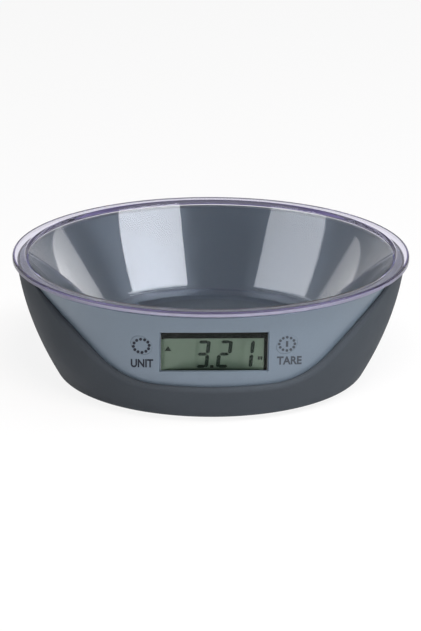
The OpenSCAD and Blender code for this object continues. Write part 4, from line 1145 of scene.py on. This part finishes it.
CARRIED = (
    ("display_window", "lens_plastic", "clear window", (0.03, 0.04, 0.035), 0.04,
     {"alpha": 0.10, "vary": 0.02, "bump": 0}),
    ("lcd_panel", "lcd_glass", "liquid crystal glass", None, 0.22,
     {"vary": 0.03, "bump": 0.02, "grain": 1800}),
    ("lcd_holder", "white_plastic", "white plastic", (0.72, 0.72, 0.70), 0.45, {}),
    ("connector_strip", "grey_rubber", "striped rubber", (0.30, 0.30, 0.31), 0.6, {}),
    ("main_board key_boards", "circuit_board", "green solder mask", (0.02, 0.13, 0.05), 0.35,
     {"grain": 900, "vary": 0.25}),
    ("controller_chip unit_plunger tare_plunger switch_bodies", "black_resin", "black resin",
     (0.015, 0.015, 0.016), 0.3, {"bump": 0.2, "grain": 700}),
    ("board_screws key_board_screws platform_screws overload_screw", "screw_steel", steel),
    ("battery_springs battery_contacts", "contact_steel", steel),
    ("key_leads", "lead_jacket", "white plastic", (0.72, 0.72, 0.70), 0.45, {}),
    ("load_cell_cable", "lead_jacket", "grey cable jacket", (0.35, 0.35, 0.36), 0.5, {}),
    ("battery_leads", "lead_jacket", "red lead jacket", (0.45, 0.03, 0.03), 0.45, {}),
    ("platform", "silver_plastic", silver_plastic),
    ("platform_pad", "grey_rubber", "slate rubber", (0.110, 0.134, 0.160), 0.6,
     {"grain": 1600, "bump": 0.25}),
    ("load_cell fixed_spacer free_spacer", "beam_aluminium", "milled aluminium", (0.62, 0.63, 0.64), 0.35,
     {"metallic": 1.0, "grain": 1200}),
    ("strain_gauges", "white_sealant", "white sealant", (0.75, 0.75, 0.72), 0.5, {"grain": 500, "bump": 0.4}),
    ("batteries", "battery_case", "battery jacket", (0.30, 0.34, 0.38), 0.35, {"grain": 300, "bump": 0}),
    ("battery_door", "dark_plastic", dark_plastic),
)


class SCALE_OT_carried(bpy.types.Operator):
    """Give the solids that keep their CAD shape their materials"""
    bl_idname = "scale.carried"
    bl_label = "Inner parts and underside"

    def execute(self, context):
        for nodes, slot, look, *given in CARRIED:
            if given:
                color, rough, more = given
                look = finish(look, color or settings("display").glass, rough, **more)
            else:
                look = look()
            for node in nodes.split():
                dress(node, look)
        return {"FINISHED"}


class SCALE_OT_stage(bpy.types.Operator):
    """Set the camera, the soft light and the pale floor"""
    bl_idname = "scale.stage"
    bl_label = "Stage"

    def execute(self, context):
        s = settings("stage")
        scene = context.scene
        scene.view_settings.view_transform = "Standard"
        camera = bpy.data.cameras.new("camera")
        camera.lens = s.lens
        camera.sensor_width = 36
        camera.sensor_fit = "AUTO"
        camera.clip_end = 50
        holder = linked("camera", camera)
        rim = Vector((0, 0, FLANGE_Z))
        spot = Vector((-0.0001, -s.distance * cos(s.elevation), s.distance * sin(s.elevation)))
        turn = Matrix.Rotation(s.azimuth, 4, "Z")
        holder.matrix_world = (Matrix.Translation(rim + turn @ spot) @ turn
                               @ Matrix.Rotation(pi / 2 - s.pitch, 4, "X") @ Matrix.Rotation(s.roll, 4, "Z"))
        scene.camera = holder

        look = bpy.data.materials.new("pale floor")
        look.use_nodes = True
        tree = look.node_tree
        shader = tree.nodes["Principled BSDF"]
        feed(tree, shader.inputs["Base Color"], (0.86, 0.86, 0.87, 1))
        feed(tree, shader.inputs["Roughness"], 0.9)
        glow = node_of(tree, "Emission", Color=(1, 1, 1, 1))
        mix = node_of(tree, "MixShader", Fac=combined(tree, "MULTIPLY", seen_by_eye(tree), 0.88))
        feed(tree, mix.inputs[1], shader.outputs["BSDF"])
        feed(tree, mix.inputs[2], glow.outputs["Emission"])
        feed(tree, tree.nodes["Material Output"].inputs["Surface"], mix.outputs["Shader"])
        bm = bmesh.new()
        bmesh.ops.create_circle(bm, cap_ends=True, segments=64, radius=3.0)
        meshed(bm, "floor", look)

        world = bpy.data.worlds.new("studio")
        scene.world = world
        world.use_nodes = True
        tree = world.node_tree
        sky = node_of(tree, "SeparateXYZ", Vector=node_of(tree, "TexCoord").outputs["Generated"])
        strength = s.fill
        for ray, low, high in (("Is Glossy Ray", 0.50, 0.08), ("Is Transmission Ray", 1.0, 0.5),
                               ("Is Camera Ray", 1.0, 1.0)):
            strength = node_of(tree, "Mix", Factor=seen_by_eye(tree, (ray,)), A=strength,
                               B=mapped(tree, sky.outputs["Z"], low, high, 0.25, 0.55)).outputs["Result"]
        back = tree.nodes["Background"]
        feed(tree, back.inputs["Strength"], strength)
        feed(tree, back.inputs["Color"], (1, 1, 1, 1))

        softbox("bright softbox", 50, 54, -20, (-0.32, 0.95), (-0.15, 0.197), 9.8, (0.93, 0.955, 1.0))
        softbox("dim softbox", -78, 46, 30, (-1.0, 0.43), (-0.12, 0.21), 5.2, (0.93, 0.96, 1.0),
                lighting=False)
        softbox("right rear strip", 120, 28, -33, (0.0, 0.8), (-0.12, 0.10), 2.4)
        softbox("left rear strip", -120, 28, 33, (-0.8, -0.05), (-0.12, 0.12), 1.6, lighting=False)
        softbox("warm top light", 8, 58, 0, (-0.3, 0.3), (-0.15, 0.15), 33.0, (1.0, 0.93, 0.89),
                mirrored=False)
        softbox("low front card", 25, 3.2, 0, (-0.5, 0.7), (-0.07, 0.07), 9.0, distance=1.3, mirrored=False)
        return {"FINISHED"}


class SCALE_PT_panel(bpy.types.Panel):
    """Settings and builders of the kitchen scale"""
    bl_idname = "SCALE_PT_panel"
    bl_label = "Kitchen Scale"
    bl_space_type = "VIEW_3D"
    bl_region_type = "UI"
    bl_category = "Kitchen Scale"

    def draw(self, context):
        for name, group, operator in GROUPS:
            box = self.layout.box()
            for prop in group.__annotations__:
                box.prop(settings(name), prop)
            box.operator(operator)
        self.layout.operator("scale.underside")
        self.layout.operator("scale.carried")


GROUPS = (
    ("bowl", BowlSettings, "scale.bowl"),
    ("shell", ShellSettings, "scale.shell"),
    ("panel", PanelSettings, "scale.housing"),
    ("display", DisplaySettings, "scale.display"),
    ("keys", KeySettings, "scale.keys"),
    ("stage", StageSettings, "scale.stage"),
)
OPERATORS = (SCALE_OT_bowl, SCALE_OT_shell, SCALE_OT_underside, SCALE_OT_housing, SCALE_OT_keys,
             SCALE_OT_display, SCALE_OT_carried, SCALE_OT_stage)


def register():
    for name, group, _ in GROUPS:
        bpy.utils.register_class(group)
        setattr(bpy.types.Scene, "scale_" + name, PointerProperty(type=group))
    for cls in OPERATORS:
        bpy.utils.register_class(cls)
    bpy.utils.register_class(SCALE_PT_panel)


def unregister():
    bpy.utils.unregister_class(SCALE_PT_panel)
    for cls in reversed(OPERATORS):
        bpy.utils.unregister_class(cls)
    for name, group, _ in reversed(GROUPS):
        delattr(bpy.types.Scene, "scale_" + name)
        bpy.utils.unregister_class(group)


def main():
    register()
    bpy.ops.scale.stage()
    bpy.ops.scale.bowl()
    bpy.ops.scale.shell()
    bpy.ops.scale.underside()
    bpy.ops.scale.housing()
    bpy.ops.scale.keys()
    bpy.ops.scale.display()
    bpy.ops.scale.carried()


if __name__ == "__main__":
    main()
